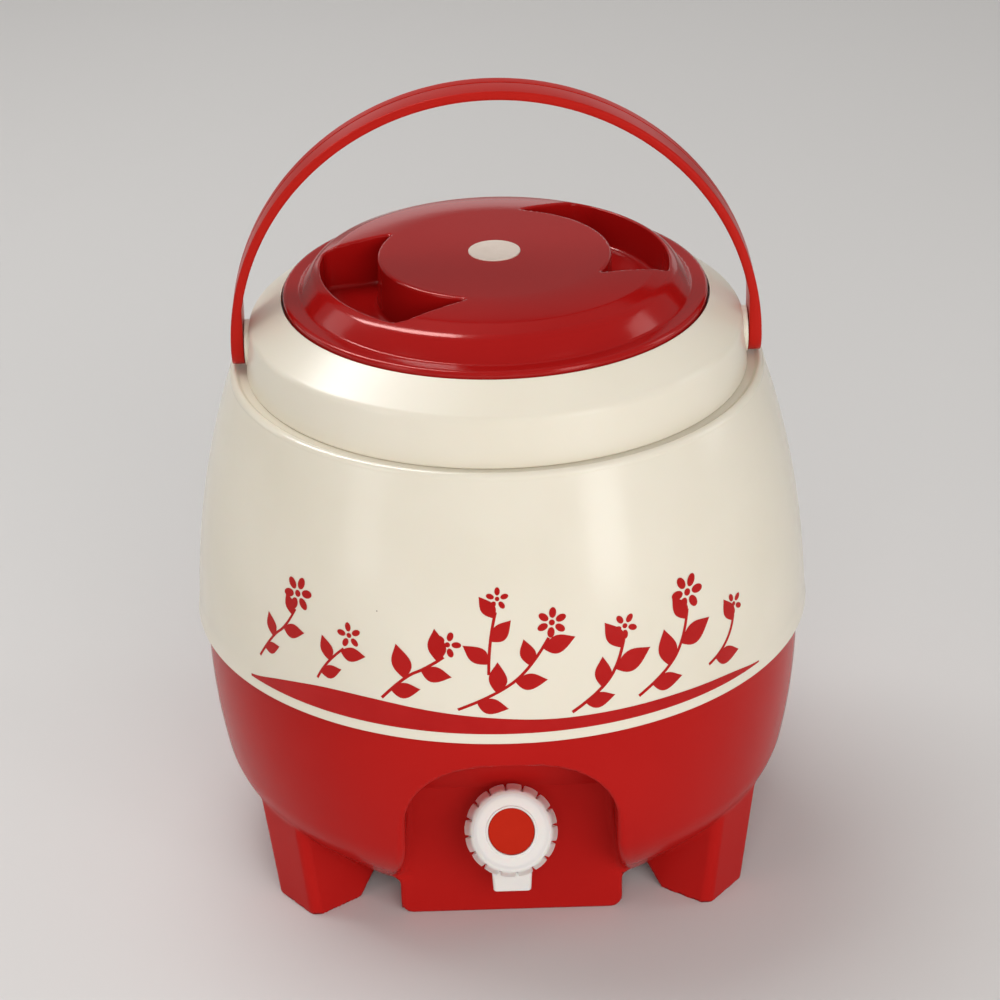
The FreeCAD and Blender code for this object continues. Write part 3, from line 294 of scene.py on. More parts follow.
clouded = add(moulding, "ShaderNodeMapRange",
              {"Value": clouds.outputs["Fac"], "From Min": 0.35, "From Max": 0.7})
tone = add(moulding, "ShaderNodeMix",
           {0: clouded.outputs[0], 6: given["Colour"], 7: given["Cloud Colour"]}, data_type="RGBA")
drawn = add(moulding, "ShaderNodeMapping",
            {"Vector": spot, "Scale": (30.0, 30.0, 420.0), "Rotation": (0.3, 0.2, 0.1)})
hairs = add(moulding, "ShaderNodeTexNoise", {"Vector": drawn.outputs[0], "Scale": 3.0, "Detail": 2.0})
scuffed = add(moulding, "ShaderNodeMapRange",
              {"Value": hairs.outputs["Fac"], "From Min": 0.62, "From Max": 0.74})
scuffs = reckon(moulding, "MULTIPLY", scuffed.outputs[0], given["Scuffs"])
dull = reckon(moulding, "MULTIPLY_ADD", scuffs, 0.06, given["Roughness"])
ripple = add(moulding, "ShaderNodeTexNoise", {"Vector": spot, "Scale": given["Ripple Scale"], "Detail": 1.0})
worn = reckon(moulding, "MULTIPLY_ADD", scuffs, -0.06, ripple.outputs["Fac"])
moulding.links.new(tone.outputs[2], result["Colour"])
moulding.links.new(dull, result["Roughness"])
moulding.links.new(worn, result["Height"])


def moulded(name, colour, cloud, roughness=0.3, scale=14.0, ripple=260.0, scuffs=0.3, relief=0.00002,
            through=0.0, shine=0.5, sheen_tint=(1, 1, 1)):
    """A plastic finish that wears the clouds, ripple and scuffs of a moulding."""
    finish = bpy.data.materials.new(name)
    finish.use_nodes = True
    tree = finish.node_tree
    shader = tree.nodes["Principled BSDF"]
    group = add(tree, "ShaderNodeGroup", node_tree=moulding)
    for key, value in (("Colour", (*colour, 1)), ("Cloud Colour", (*cloud, 1)), ("Roughness", roughness),
                       ("Cloud Scale", scale), ("Ripple Scale", ripple), ("Scuffs", scuffs)):
        group.inputs[key].default_value = value
    bump = add(tree, "ShaderNodeBump",
               {"Strength": 1.0, "Distance": relief, "Height": group.outputs["Height"]})
    tree.links.new(group.outputs["Colour"], shader.inputs["Base Color"])
    tree.links.new(group.outputs["Roughness"], shader.inputs["Roughness"])
    tree.links.new(bump.outputs[0], shader.inputs["Normal"])
    shader.inputs["Specular IOR Level"].default_value = shine
    shader.inputs["Specular Tint"].default_value = (*sheen_tint, 1)
    shader.inputs["Subsurface Weight"].default_value = through
    shader.inputs["Subsurface Scale"].default_value = 0.004
    return finish


def smoothed(values, weights):
    """Evenly spaced values under a running mean with these weights."""
    return np.convolve(np.pad(values, len(weights) // 2, mode="edge"), weights / weights.sum(), mode="valid")


def off_line(across, along, places, values, slopes):
    """About how far off a line a point lies, where the line is its values and slopes at some places."""
    return (across - np.interp(along, places, values)) / np.sqrt(1 + np.interp(along, places, slopes) ** 2)


def in_turn(spots, numbers):
    """Numbers of points, ordered by their turn about Z, and those turns."""
    turns = sorted((math.atan2(spots[i][1], spots[i][0]), i) for i in numbers)
    return [i for _, i in turns], [turn for turn, _ in turns] + [math.inf]


RED_SHINE = (1.0, 0.42, 0.38)
base_red = moulded("base_red", (0.445, 0.0115, 0.0095), (0.42, 0.010, 0.0085), roughness=0.27, scuffs=0.05,
                   shine=0.11, sheen_tint=RED_SHINE)

PROFILE_STEP = 0.25
BOWL_FLOOR, BASE_RIM, LIP_HEIGHT = 20, 158, 144.5
LEG_ANGLE = math.radians(37.5)
LEG_REACH, LEG_INSIDE, LEG_TOP = 152.8, 120, 64
LEG_HALF, LEG_SHIFT, LEG_SWEEP = 18.6, 2.6, 0.234
APRON_HALF, APRON_TOP, APRON_FRONT, APRON_REAR = 61, 22, -150, -82
PANEL_FRONT, PANEL_TOP = -104, 50
NICHE_BACK, ARCH_MIDDLE, ARCH_HALF = -108, 84, 56.3
LINING_TURNS = 144
bowl_line = trace((121, BOWL_FLOOR), (143, 40.5), via(153.2, 52.5), (158.8, 68), via(163.6, 102),
                  (164.8, LIP_HEIGHT), (164.8, 165))
bowl_heights = np.arange(8, 166, PROFILE_STEP)
bowl_radii = np.interp(bowl_heights, bowl_line[:, 1], bowl_line[:, 0])
bowl_radii -= np.maximum(BOWL_FLOOR - bowl_heights, 0) * 22 / 20.5
bowl_radii = smoothed(bowl_radii, np.hanning(25))
bowl_slopes = np.gradient(bowl_radii, PROFILE_STEP)
niche_heights = np.arange(APRON_TOP, 90, 0.5)
niche_halves = smoothed(np.interp(niche_heights, (24, 62), (APRON_HALF, ARCH_HALF)), np.ones(21))
arch_turns, arch_radii = (0, 25.9, 49.9, 68.6, 90), (ARCH_HALF, 53.9, 49.7, 45.5, 43.8)
arch_curve = np.polyfit(np.sin(np.radians(arch_turns)) ** 2, arch_radii, 3)
arch_curve[-1] = ARCH_HALF


def base_form(x, y, z):
    """The base's outside: bowl, legs and apron joined, less the niche."""
    bowl = off_line(np.hypot(x, y), z, bowl_heights, bowl_radii, bowl_slopes)
    body = round_and(bowl, BOWL_FLOOR - z, 3)
    across, along = np.abs(x), np.abs(y)
    out = across * math.cos(LEG_ANGLE) + along * math.sin(LEG_ANGLE)
    side = along * math.cos(LEG_ANGLE) - across * math.sin(LEG_ANGLE)
    leg = round_and(out - LEG_REACH, np.abs(side - LEG_SHIFT + LEG_SWEEP * z) - (LEG_HALF + 0.02 * z), 6)
    leg = round_and(leg, (LEG_INSIDE - z - out) * math.sqrt(0.5), 3)
    leg = np.maximum(round_and(leg, -z, 1), z - LEG_TOP)
    body = round_or(body, leg, 1.0)
    apron = round_and(across - APRON_HALF, -z, 7)
    apron = np.maximum(np.maximum(apron, z - APRON_TOP), np.maximum(APRON_FRONT - y, y - APRON_REAR))
    panel = across - (APRON_HALF - 0.18 * np.clip(z - 24, 0, 26))
    panel = np.maximum(panel, np.maximum(z - PANEL_TOP, 1 - z))
    panel = np.maximum(panel, np.maximum(PANEL_FRONT - y, y - APRON_REAR))
    body = round_or(body, np.minimum(apron, panel), 4)
    rise = np.maximum(z - ARCH_MIDDLE, 0)
    reach = np.hypot(across, rise)
    lean = (rise / np.maximum(reach, 1e-6)) ** 2
    half = np.interp(z, niche_heights, niche_halves)
    half = np.where(z < APRON_TOP, APRON_HALF + (APRON_TOP - z) * 60, half)
    flank = np.where(z > ARCH_MIDDLE, reach - np.polyval(arch_curve, lean), across - half)
    niche = round_and(y - NICHE_BACK, flank, 4)
    lip = np.interp(z, (0, 20, 26, 60, 100, 128), (1.6, 1.6, 6.5, 6.0, 2.5, 1.5))
    return round_and(body, -niche, lip)


points, faces, normals = skin(base_form, (-168, -168, -2.4), (168, 168, 157), 1.79)
edges = {edge for face in faces for edge in zip(face, face[1:] + face[:1])}
rim, rim_turns = in_turn(points, {i for edge in edges if edge[::-1] not in edges for i in edge})
points[rim, 2] = BASE_RIM
lining = trace((161.8, BASE_RIM), (161.8, LIP_HEIGHT, 3), (155.8, 69, 8), (140, 43, 8), (119, 23, 2), (0, 23))
lined, lining_faces, lining_normals = spun(lining, LINING_TURNS)
by_niche = lined[:, 2] < 131
lined[by_niche, 1] = np.maximum(lined[by_niche, 1], NICHE_BACK + 3)
start = len(points)
points, faces, normals = gather((points, faces, normals), (lined, lining_faces, lining_normals))
inner, inner_turns = in_turn(points, range(start, start + LINING_TURNS))
rim_faces, a, b = [], 0, 0
while a < len(rim) or b < len(inner):
    if a < len(rim) and rim_turns[min(a + 1, len(rim))] <= inner_turns[min(b + 1, len(inner))]:
        rim_faces.append((rim[a], rim[(a + 1) % len(rim)], inner[b % len(inner)]))
        a += 1
    else:
        rim_faces.append((rim[a % len(rim)], inner[(b + 1) % len(inner)], inner[b % len(inner)]))
        b += 1
base = piece("red_base", points, faces + rim_faces, base_red, normals)
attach(base, "jug_body")
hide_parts("base_shell")


# What fills and lines the jug. The liner is a white food-grade moulding that hangs by its rim. Yellow
# foam is poured round it through a hole in the underside, which a red plug then closes.


def dress(node, finish):
    """Gives a part that keeps its own form a better finish."""
    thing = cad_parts[node]
    for i in range(len(thing.material_slots)):
        thing.material_slots[i].material = finish
    if not thing.material_slots:
        thing.data.materials.append(finish)


tank_white = moulded("tank_white", (0.80, 0.80, 0.77), (0.76, 0.76, 0.73), roughness=0.33, scuffs=0.4)
plug_red = moulded("plug_red", (0.36, 0.010, 0.011), (0.30, 0.008, 0.008), roughness=0.4, scuffs=0.7)
dress("inner_tank", tank_white)
dress("neck_ring", tank_white)
dress("foam_plug", plug_red)

foam_yellow = bpy.data.materials.new("foam_yellow")
foam_yellow.use_nodes = True
tree = foam_yellow.node_tree
spot = add(tree, "ShaderNodeTexCoord").outputs["Object"]
bubbles = add(tree, "ShaderNodeTexVoronoi", {"Vector": spot, "Scale": 900.0})
patches = add(tree, "ShaderNodeTexNoise", {"Vector": spot, "Scale": 25.0, "Detail": 4.0})
foamed = add(tree, "ShaderNodeMix",
             {0: patches.outputs["Fac"], 6: (0.78, 0.60, 0.26, 1), 7: (0.62, 0.44, 0.15, 1)},
             data_type="RGBA")
pits = add(tree, "ShaderNodeBump",
           {"Strength": 1.0, "Distance": 0.0006, "Height": bubbles.outputs["Distance"]})
shader = tree.nodes["Principled BSDF"]
shader.inputs["Roughness"].default_value = 0.85
tree.links.new(foamed.outputs[2], shader.inputs["Base Color"])
tree.links.new(pits.outputs[0], shader.inputs["Normal"])
dress("body_foam", foam_yellow)
dress("lid_foam", foam_yellow)

gasket_grey = moulded("gasket_grey", (0.33, 0.33, 0.32), (0.28, 0.28, 0.27), roughness=0.6, ripple=900.0,
                      relief=0.00005)
for ring in ("neck_gasket", "lid_gasket", "tap_outer_gasket", "tap_inner_gasket"):
    dress(ring, gasket_grey)


# The cream barrel is a blown-out drum of glossy plastic that hangs over the bowl's rim with a rolled
# lip. Its rounded shoulder turns in to a narrow ledge, on which the collar stands.

barrel_cream = moulded("barrel_cream", (0.785, 0.725, 0.605), (0.755, 0.695, 0.57), roughness=0.2,
                       scuffs=0.35, through=0.04)
tree = barrel_cream.node_tree
shader = tree.nodes["Principled BSDF"]
group = next(node for node in tree.nodes if node.type == "GROUP")
spot = add(tree, "ShaderNodeTexCoord").outputs["Object"]
grit = add(tree, "ShaderNodeTexVoronoi", {"Vector": spot, "Scale": 34.0})
small = add(tree, "ShaderNodeMapRange",
            {"Value": grit.outputs["Distance"], "From Min": 0.018, "From Max": 0.012})
few = reckon(tree, "GREATER_THAN", grit.outputs["Color"], 0.78)
specks = reckon(tree, "MULTIPLY", small.outputs[0], few)
specked = add(tree, "ShaderNodeMix", {0: specks, 6: group.outputs["Colour"], 7: (0.20, 0.13, 0.08, 1)},
              data_type="RGBA")
tree.links.new(specked.outputs[2], shader.inputs["Base Color"])

barrel_line = trace(
    (168, LIP_HEIGHT), (170, LIP_HEIGHT, 0.9), (168.9, 153, 3), via(162.8, 212.5), (144.8, 283.9),
    via(143.8, 286.3), (141.4, 287.3, 0.6), (139.4, 285.6, 0.6), (120.1, 285.6, 0.5), (120.1, 282.6, 0.5),
    (141.8, 282.6, 1), via(159.8, 212.5), (165.9, 153), (167, LIP_HEIGHT, 0.7), (168, LIP_HEIGHT), steps=40)
points, faces, normals = spun(barrel_line[:-1], 256, closed=True)
barrel = piece("cream_barrel", points, faces, barrel_cream, normals)
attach(barrel, "jug_body")
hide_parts("upper_shell")


# A plain decoration is printed in red round the front of the barrel: a tapering stripe low down, and
# leafy sprigs with buds and small flowers above it. It is one thin film of ink.

print_red = moulded("print_red", (0.43, 0.008, 0.008), (0.40, 0.006, 0.006), roughness=0.24, scale=60.0,
                    scuffs=0.1, shine=0.35, sheen_tint=RED_SHINE)
PRINT_RADIUS, INK_LIFT = 165, 0.08
face_line = trace((170, LIP_HEIGHT), (168.9, 153), via(162.8, 212.5), (144.8, 283.9), steps=60)

leaf_spray, given, result = new_tree(
    "leaf_spray", "GeometryNodeTree",
    [("Stems", "NodeSocketGeometry", None), ("Spacing", "NodeSocketFloat", 0.012),
     ("Leaf Length", "NodeSocketFloat", 0.014), ("Leaf Width", "NodeSocketFloat", 0.0052),
     ("Spread", "NodeSocketFloat", 0.75), ("Stem Width", "NodeSocketFloat", 0.0012),
     ("Seed", "NodeSocketInt", 3), ("Ink", "NodeSocketMaterial", None)],
    [("Print", "NodeSocketGeometry")])
sheet = add(leaf_spray, "GeometryNodeMeshGrid",
            {"Size X": 1.0, "Size Y": 1.0, "Vertices X": 13, "Vertices Y": 5})
where = add(leaf_spray, "ShaderNodeSeparateXYZ", {0: add(leaf_spray, "GeometryNodeInputPosition").outputs[0]})
along = reckon(leaf_spray, "ADD", where.outputs[0], 0.5)
swell = reckon(leaf_spray, "SINE", reckon(leaf_spray, "MULTIPLY", along, math.pi))
taper = reckon(leaf_spray, "MULTIPLY_ADD", along, -0.55, 1.2)
fuller = reckon(leaf_spray, "MULTIPLY", swell, taper)
wide = reckon(leaf_spray, "MULTIPLY", fuller, where.outputs[1])
broad = reckon(leaf_spray, "MULTIPLY", wide, given["Leaf Width"])
curl = reckon(leaf_spray, "POWER", along, 2.0)
bent = reckon(leaf_spray, "MULTIPLY_ADD", curl, 0.0022, broad)
long = reckon(leaf_spray, "MULTIPLY", along, given["Leaf Length"])
shaped = add(leaf_spray, "ShaderNodeCombineXYZ", {0: long, 1: bent})
leaf = add(leaf_spray, "GeometryNodeSetPosition",
           {"Geometry": sheet.outputs[0], "Position": shaped.outputs[0]})
leafy = add(leaf_spray, "GeometryNodeTrimCurve", {"Curve": given["Stems"], "Start": 0.17, "End": 0.9})
spots = add(leaf_spray, "GeometryNodeCurveToPoints", {"Curve": leafy.outputs[0], "Length": given["Spacing"]},
            mode="LENGTH")
index = add(leaf_spray, "GeometryNodeInputIndex").outputs[0]
odd = reckon(leaf_spray, "MODULO", index, 2.0)
sign = reckon(leaf_spray, "MULTIPLY_ADD", odd, 2.0, -1.0)
jitter = add(leaf_spray, "FunctionNodeRandomValue", {2: 0.8, 3: 1.2, "ID": index, "Seed": given["Seed"]},
             data_type="FLOAT").outputs[1]
tilted = reckon(leaf_spray, "MULTIPLY", reckon(leaf_spray, "MULTIPLY", sign, given["Spread"]), jitter)
ahead = add(leaf_spray, "ShaderNodeSeparateXYZ", {0: spots.outputs["Tangent"]})
heading = reckon(leaf_spray, "ARCTAN2", ahead.outputs[1], ahead.outputs[0])
turned = reckon(leaf_spray, "ADD", heading, tilted)
facing = add(leaf_spray, "ShaderNodeCombineXYZ", {2: turned})
size = add(leaf_spray, "ShaderNodeCombineXYZ", {0: jitter, 1: jitter, 2: 1.0})
lift = add(leaf_spray, "ShaderNodeCombineXYZ", {2: reckon(leaf_spray, "MULTIPLY", jitter, 0.00005)})
lifted = add(leaf_spray, "GeometryNodeSetPosition",
             {"Geometry": spots.outputs["Points"], "Offset": lift.outputs[0]})
leaves = add(leaf_spray, "GeometryNodeInstanceOnPoints",
             {"Points": lifted.outputs[0], "Instance": leaf.outputs[0], "Rotation": facing.outputs[0],
              "Scale": size.outputs[0]})
edge = add(leaf_spray, "ShaderNodeCombineXYZ", {0: given["Stem Width"]})
other_edge = add(leaf_spray, "ShaderNodeVectorMath", {0: edge.outputs[0], "Scale": -1.0}, operation="SCALE")
rib = add(leaf_spray, "GeometryNodeCurvePrimitiveLine",
          {"Start": other_edge.outputs[0], "End": edge.outputs[0]})
level = add(leaf_spray, "GeometryNodeSetCurveNormal", {"Curve": given["Stems"]}, mode="Z_UP")
stems = add(leaf_spray, "GeometryNodeCurveToMesh",
            {"Curve": level.outputs[0], "Profile Curve": rib.outputs[0]})
both = add(leaf_spray, "GeometryNodeJoinGeometry")
leaf_spray.links.new(leaves.outputs[0], both.inputs[0])
leaf_spray.links.new(stems.outputs[0], both.inputs[0])
real = add(leaf_spray, "GeometryNodeRealizeInstances", {0: both.outputs[0]})
inked = add(leaf_spray, "GeometryNodeSetMaterial", {"Geometry": real.outputs[0], "Material": given["Ink"]})
leaf_spray.links.new(inked.outputs[0], result[0])


def grown(source, tree, values):
    """The plain mesh that a tree of geometry nodes grows from its source."""
    holder = bpy.data.objects.new("holder", source)
    bpy.context.scene.collection.objects.link(holder)
    modifier = holder.modifiers.new("nodes", "NODES")
    modifier.node_group = tree
    for item in tree.interface.items_tree:
        if item.item_type == "SOCKET" and item.in_out == "INPUT" and item.name in values:
            modifier[item.identifier] = values[item.name]
    bpy.context.view_layer.update()
    mesh = bpy.data.meshes.new_from_object(holder.evaluated_get(bpy.context.evaluated_depsgraph_get()))
    holder.modifiers.clear()
    bpy.data.objects.remove(holder)
    return mesh


def stem_curve(*runs):
    """Smooth stems lying flat, each through its points in millimetres."""
    curve = bpy.data.curves.new("stems", "CURVE")
    curve.dimensions = "3D"
    curve.resolution_u = 10
    for run in runs:
        line = curve.splines.new("NURBS")
        line.points.add(len(run) - 1)
        for point, (x, y) in zip(line.points, run):
            point.co = (x / 1000, y / 1000, 0, 1)
        line.order_u = 3
        line.use_endpoint_u = True
    return curve


def in_millimetres(mesh):
    """The points of a mesh in millimetres, and its faces."""
    spots = np.array([v.co[:] for v in mesh.vertices]) * 1000
    return spots, [tuple(face.vertices) for face in mesh.polygons]


def blade(line, widths):
    """A flat band along a line, of changing width."""
    line, widths = np.array(line, float), np.array(widths, float)
    run = np.gradient(line, axis=0)
    run /= np.linalg.norm(run, axis=1, keepdims=True)
    square = np.stack([-run[:, 1], run[:, 0]], 1)
    rows = [line + square * (widths * k / 2)[:, None] for k in (-1, -0.33, 0.33, 1)]
    spots = np.concatenate([np.concatenate(rows), np.zeros((4 * len(line), 1))], 1)
    n = len(line)
    starts = [k * n + i for k in range(3) for i in range(n - 1)]
    return spots, [(s, s + 1, s + n + 1, s + n) for s in starts]


def flower(x, y, reach, petals, turn=0.0):
    """A small flower of round petals about a dot."""
    spots, found = [], []
    for p in range(petals + 1):
        a = turn + math.tau * p / petals
        out, long, wide = (0, 0.2, 0.2) if p == petals else (0.66, 0.36, 0.24)
        middle_x, middle_y = x + reach * out * math.cos(a), y + reach * out * math.sin(a)
        start = len(spots)
        level = 0.07 + 0.01 * (p % 3)
        spots.append((middle_x, middle_y, level))
        for t in np.arange(16) * math.tau / 16:
            u, v = reach * long * math.cos(t), reach * wide * math.sin(t)
            spots.append((middle_x + u * math.cos(a) - v * math.sin(a),
                          middle_y + u * math.sin(a) + v * math.cos(a), level))
        found += [(start, start + 1 + k, start + 1 + (k + 1) % 16) for k in range(16)]
    return np.array(spots), found


sweep = np.linspace(-154, 152, 150)
stripe_widths = (0.2, 7.5, 14, 14.5, 11, 7, 6.5, 4.5, 0.2)
band = smoothed(np.interp(sweep, (-154, -132, -100, -70, -30, 20, 90, 130, 152), stripe_widths), np.ones(13))
parts = [
    blade(np.stack([sweep, 150.3 + band / 2], 1), band),
    flower(-119, 211, 9.5, 6, 0.2), flower(-85, 197, 7, 5, 0.5), flower(101, 211, 10, 6),
    flower(62, 203, 7, 5, 0.9), flower(23, 211, 8, 6, 0.4), flower(-31, 200, 7, 5),
    flower(-5, 225, 6, 5, 0.3), flower(133, 193, 6.5, 5, 0.7),
]
SPRAY_SIZES = ("Spacing", "Seed", "Leaf Length", "Leaf Width", "Spread", "Stem Width")
sprays = (
    (([(-146, 166), (-136, 182), (-126, 190), (-120, 202)], [(-104, 168), (-99, 179), (-88, 189)]),
     (0.0088, 2, 0.0135, 0.008, 0.85, 0.0007)),
    (([(-66, 166), (-54, 180), (-42, 186), (-33, 193)], [(-26, 164), (-4, 174), (12, 188), (21, 203)],
      [(-10, 184), (-10, 202), (-6, 218)]),
     (0.0104, 5, 0.016, 0.0095, 0.8, 0.0008)),
    (([(32, 160), (48, 170), (58, 184), (61, 196)], [(68, 162), (86, 172), (97, 188), (100, 202)],
      [(112, 166), (128, 172), (132, 187)]),
     (0.0112, 8, 0.018, 0.0105, 0.7, 0.0009)),
)
for runs, sizes in sprays:
    values = {"Ink": print_red, **dict(zip(SPRAY_SIZES, sizes))}
    parts.append(in_millimetres(grown(stem_curve(*runs), leaf_spray, values)))
points, faces, start = [], [], 0
for spots, found in parts:
    points.append(spots)
    faces += [tuple(i + start for i in face) for face in found]
    start += len(spots)
points = np.concatenate(points)
turn = points[:, 0] / PRINT_RADIUS
reach = np.interp(points[:, 1], face_line[:, 1], face_line[:, 0]) + INK_LIFT + points[:, 2]
points = np.stack([reach * np.sin(turn), -reach * np.cos(turn), points[:, 1]], 1)
lean = np.gradient(face_line[:, 0], face_line[:, 1])
lean = np.interp(points[:, 2], face_line[:, 1], lean)
normals = np.stack([np.sin(turn), -np.cos(turn), -lean], 1)
normals /= np.linalg.norm(normals, axis=1, keepdims=True)
ordered = []
for face in faces:
    ring = points[list(face)]
    facing = np.cross(ring, np.roll(ring, -1, axis=0)).sum(0)
    ordered.append(face if np.dot(facing, normals[face[0]]) > 0 else face[::-1])
printed = piece("barrel_print", points, ordered, print_red, normals)
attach(printed, "jug_body")


# The collar is a separate cream moulding on the ledge. It rises nearly straight, folds softly inwards
# and ends in the mouth, and a flat hub on each side holds the handle's peg.

collar_cream = moulded("collar_cream", (0.785, 0.725, 0.605), (0.76, 0.70, 0.575), roughness=0.32, scuffs=0.3,
                       through=0.04)
PIVOT = 299.5
collar_line = trace(
    (125, 285.7), (135.5, 285.7, 1.4), (132.9, 312.3, 2.5), (114.9, 326.7, 0.9), (114.9, 315.3, 0.4),
    (107.5, 315.3, 0.4), (107.5, 312.3, 0.4), (112, 312.3), (116, 312), (129.5, 309.5, 3), (131.8, 288.7, 1),
    (125, 285.7))


def turned_to_x(shape, side):
    """Turns a shape made about Z so that its axis lies along X, towards one side, at the pivot."""
    p, f, n = shape
    turn = np.array([[0, 0, side], [0, 1, 0], [-side, 0, 0]], float)
    return p @ turn.T + (0, 0, PIVOT), f, n @ turn.T


hub_line = trace((0, 126.5), (9, 126.5, 0.5), (9, 130), (12.6, 130, 0.3), (12.6, 135.5, 0.7), (0, 135.5))
hubs = [turned_to_x(spun(hub_line, 64), side) for side in (1, -1)]
points, faces, normals = gather(spun(collar_line[:-1], 240, closed=True), *hubs)
collar = piece("cream_collar", points, faces, collar_cream, normals)
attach(collar, "jug_body")
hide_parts("neck_collar")


# The tap's body is one white moulding: a shank through both walls, a flange on the panel, a barrel
# that leans up towards the user, and a flat-fronted spout that tapers down from it.

tap_white = moulded("tap_white", (0.83, 0.81, 0.77), (0.79, 0.765, 0.725), roughness=0.26, scuffs=0.3,
                    ripple=500.0, through=0.12)
nut_white = moulded("nut_white", (0.78, 0.78, 0.75), (0.74, 0.74, 0.71), roughness=0.38, ripple=600.0)
stem_white = moulded("stem_white", (0.76, 0.76, 0.73), (0.72, 0.72, 0.69), roughness=0.3, ripple=600.0)
washer_black = moulded("washer_black", (0.02, 0.02, 0.02), (0.03, 0.03, 0.03), roughness=0.62, ripple=1200.0,
                       relief=0.00005)
TILT = math.radians(30)
SEAT = np.array([0, -116.7, 59.0])
SHANK_HEIGHT = 56
SPOUT_AXIS, SPOUT_END, SPOUT_TOP = -128.5, 30.5, 62


def tap_form(x, y, z):
    """The tap's body: flange, shank, throat, leaning barrel and spout, less the water's way."""
    front = SEAT[1] - y
    up = z - SEAT[2]
    along = front * math.cos(TILT) + up * math.sin(TILT)
    lift = up * math.cos(TILT) - front * math.sin(TILT)
    from_axis = np.hypot(x, lift)
    from_shank = np.hypot(x, z - SHANK_HEIGHT)
    flange = round_and(from_shank - 18, np.abs(y + 111.6) - 1.6, 0.9)
    shank = round_and(from_shank - 8, np.maximum(y + 82, -112 - y), 0.6)
    throat = np.maximum(from_shank - 11.6, np.maximum(-124 - y, y + 110))
    barrel = round_and(from_axis - 10, np.maximum(along - 28, -0.5 - along), 0.7)
    body = round_or(round_or(flange, shank, 0.6), throat, 1.5)
    body = round_or(body, barrel, 1.2)
    part = np.clip((z - SPOUT_END) / (SPOUT_TOP - SPOUT_END), 0, 1)
    wide = np.abs(x) - (10.2 + 1.8 * part)
    deep = np.abs(y - SPOUT_AXIS) - (6.75 + 2.25 * part)
    spout = round_and(wide, deep, 2)
    spout = round_and(spout, np.maximum(SPOUT_END - z, z - SPOUT_TOP), 0.8)
    body = round_or(body, spout, 1.3)
    bore = np.maximum(np.hypot(x, y - SPOUT_AXIS) - 4.5, z - 63)
    chamber = np.maximum(from_axis - 7, -along)
    water = np.maximum(from_shank - 5, -118 - y)
    body = round_and(body, -bore, 0.7)
    return np.maximum(body, -np.minimum(chamber, water))


points, faces, normals = skin(tap_form, (-19.4, -147, 29.6), (19.4, -80, 76), 0.55)
tap = piece("tap_shell", points, faces, tap_white, normals)
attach(tap, "jug_body")
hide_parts("tap_body")
dress("tap_spacer", nut_white)
dress("tap_nut", nut_white)
dress("valve_stem", stem_white)
dress("valve_washer", washer_black)
dress("stem_ring", washer_black)

screw_steel = bpy.data.materials.new("screw_steel")
screw_steel.use_nodes = True
tree = screw_steel.node_tree
shader = tree.nodes["Principled BSDF"]
shader.inputs["Metallic"].default_value = 1.0
shader.inputs["Base Color"].default_value = (0.6, 0.6, 0.59, 1)
spot = add(tree, "ShaderNodeTexCoord").outputs["Object"]
brushed = add(tree, "ShaderNodeTexNoise", {"Vector": spot, "Scale": 1800.0, "Detail": 3.0})
steely = add(tree, "ShaderNodeMapRange", {"Value": brushed.outputs["Fac"], "To Min": 0.22, "To Max": 0.42})
tree.links.new(steely.outputs[0], shader.inputs["Roughness"])
grooves = add(tree, "ShaderNodeBump",
              {"Strength": 0.6, "Distance": 0.00002, "Height": brushed.outputs["Fac"]})
tree.links.new(grooves.outputs[0], shader.inputs["Normal"])
for node in ("knob_screw", "handle_retainer_left", "handle_retainer_right"):
    dress(node, screw_steel)


# The knob is a shallow white cup with sixteen flared lobes for the fingers, a smooth rounded face and
# a thin raised rim round its red cap. It is pressed on the stem and held by the screw under the cap.

knob_white = moulded("knob_white", (0.84, 0.80, 0.76), (0.80, 0.755, 0.71), roughness=0.28, scuffs=0.3,
                     ripple=500.0, through=0.15)
cap_red = moulded("cap_red", (0.50, 0.022, 0.009), (0.48, 0.020, 0.008), roughness=0.5, scale=80.0,
                  ripple=700.0, scuffs=0.1, shine=0.08, sheen_tint=RED_SHINE)
LOBES, FIRST_LOBE = 16, math.radians(96)
LOBE_SWELL, GROOVE_DEPTH, GROOVE_HALF = 0.6, 2.3, 0.8
AHEAD = np.array(((1, 0, 0), (0, math.sin(TILT), -math.cos(TILT)), (0, math.cos(TILT), math.sin(TILT))))


def on_valve(points):
    """Puts points made about Z on the valve's axis, measured from its seat."""
    return points @ AHEAD.T + SEAT


outside = trace((25, 21.2), (24.6, 22.4, 0.5), (22.6, 31.3, 1.5), (21.0, 34.4, 2.4), (17.2, 35.2, 3),
                (13.7, 34.7, 0.5), (13.5, 35.3, 0.25), (12.55, 35.3, 0.25), (12.5, 32.8), (4.2, 32.8),
                steps=10)
under = trace((4.2, 32.8), (4.2, 31.1), (3.05, 31.1), (3.05, 28.5), (10.05, 28.5), (10.05, 22), (12.25, 22),
              (12.25, 30.2), (19.1, 30.2, 0.6), (22.4, 21.4, 0.4), (23.6, 20.95, 0.3), (25, 21.2), steps=10)
profile = np.concatenate([outside, under[1:]])
sector = math.tau / LOBES
by_groove = np.array([0, 0.035, 0.07, 0.1, 0.14, 0.2, 0.28])
spread = np.concatenate([by_groove, np.linspace(0.38, 0.62, 4), 1 - by_groove[::-1]])
points, count = [], len(profile)
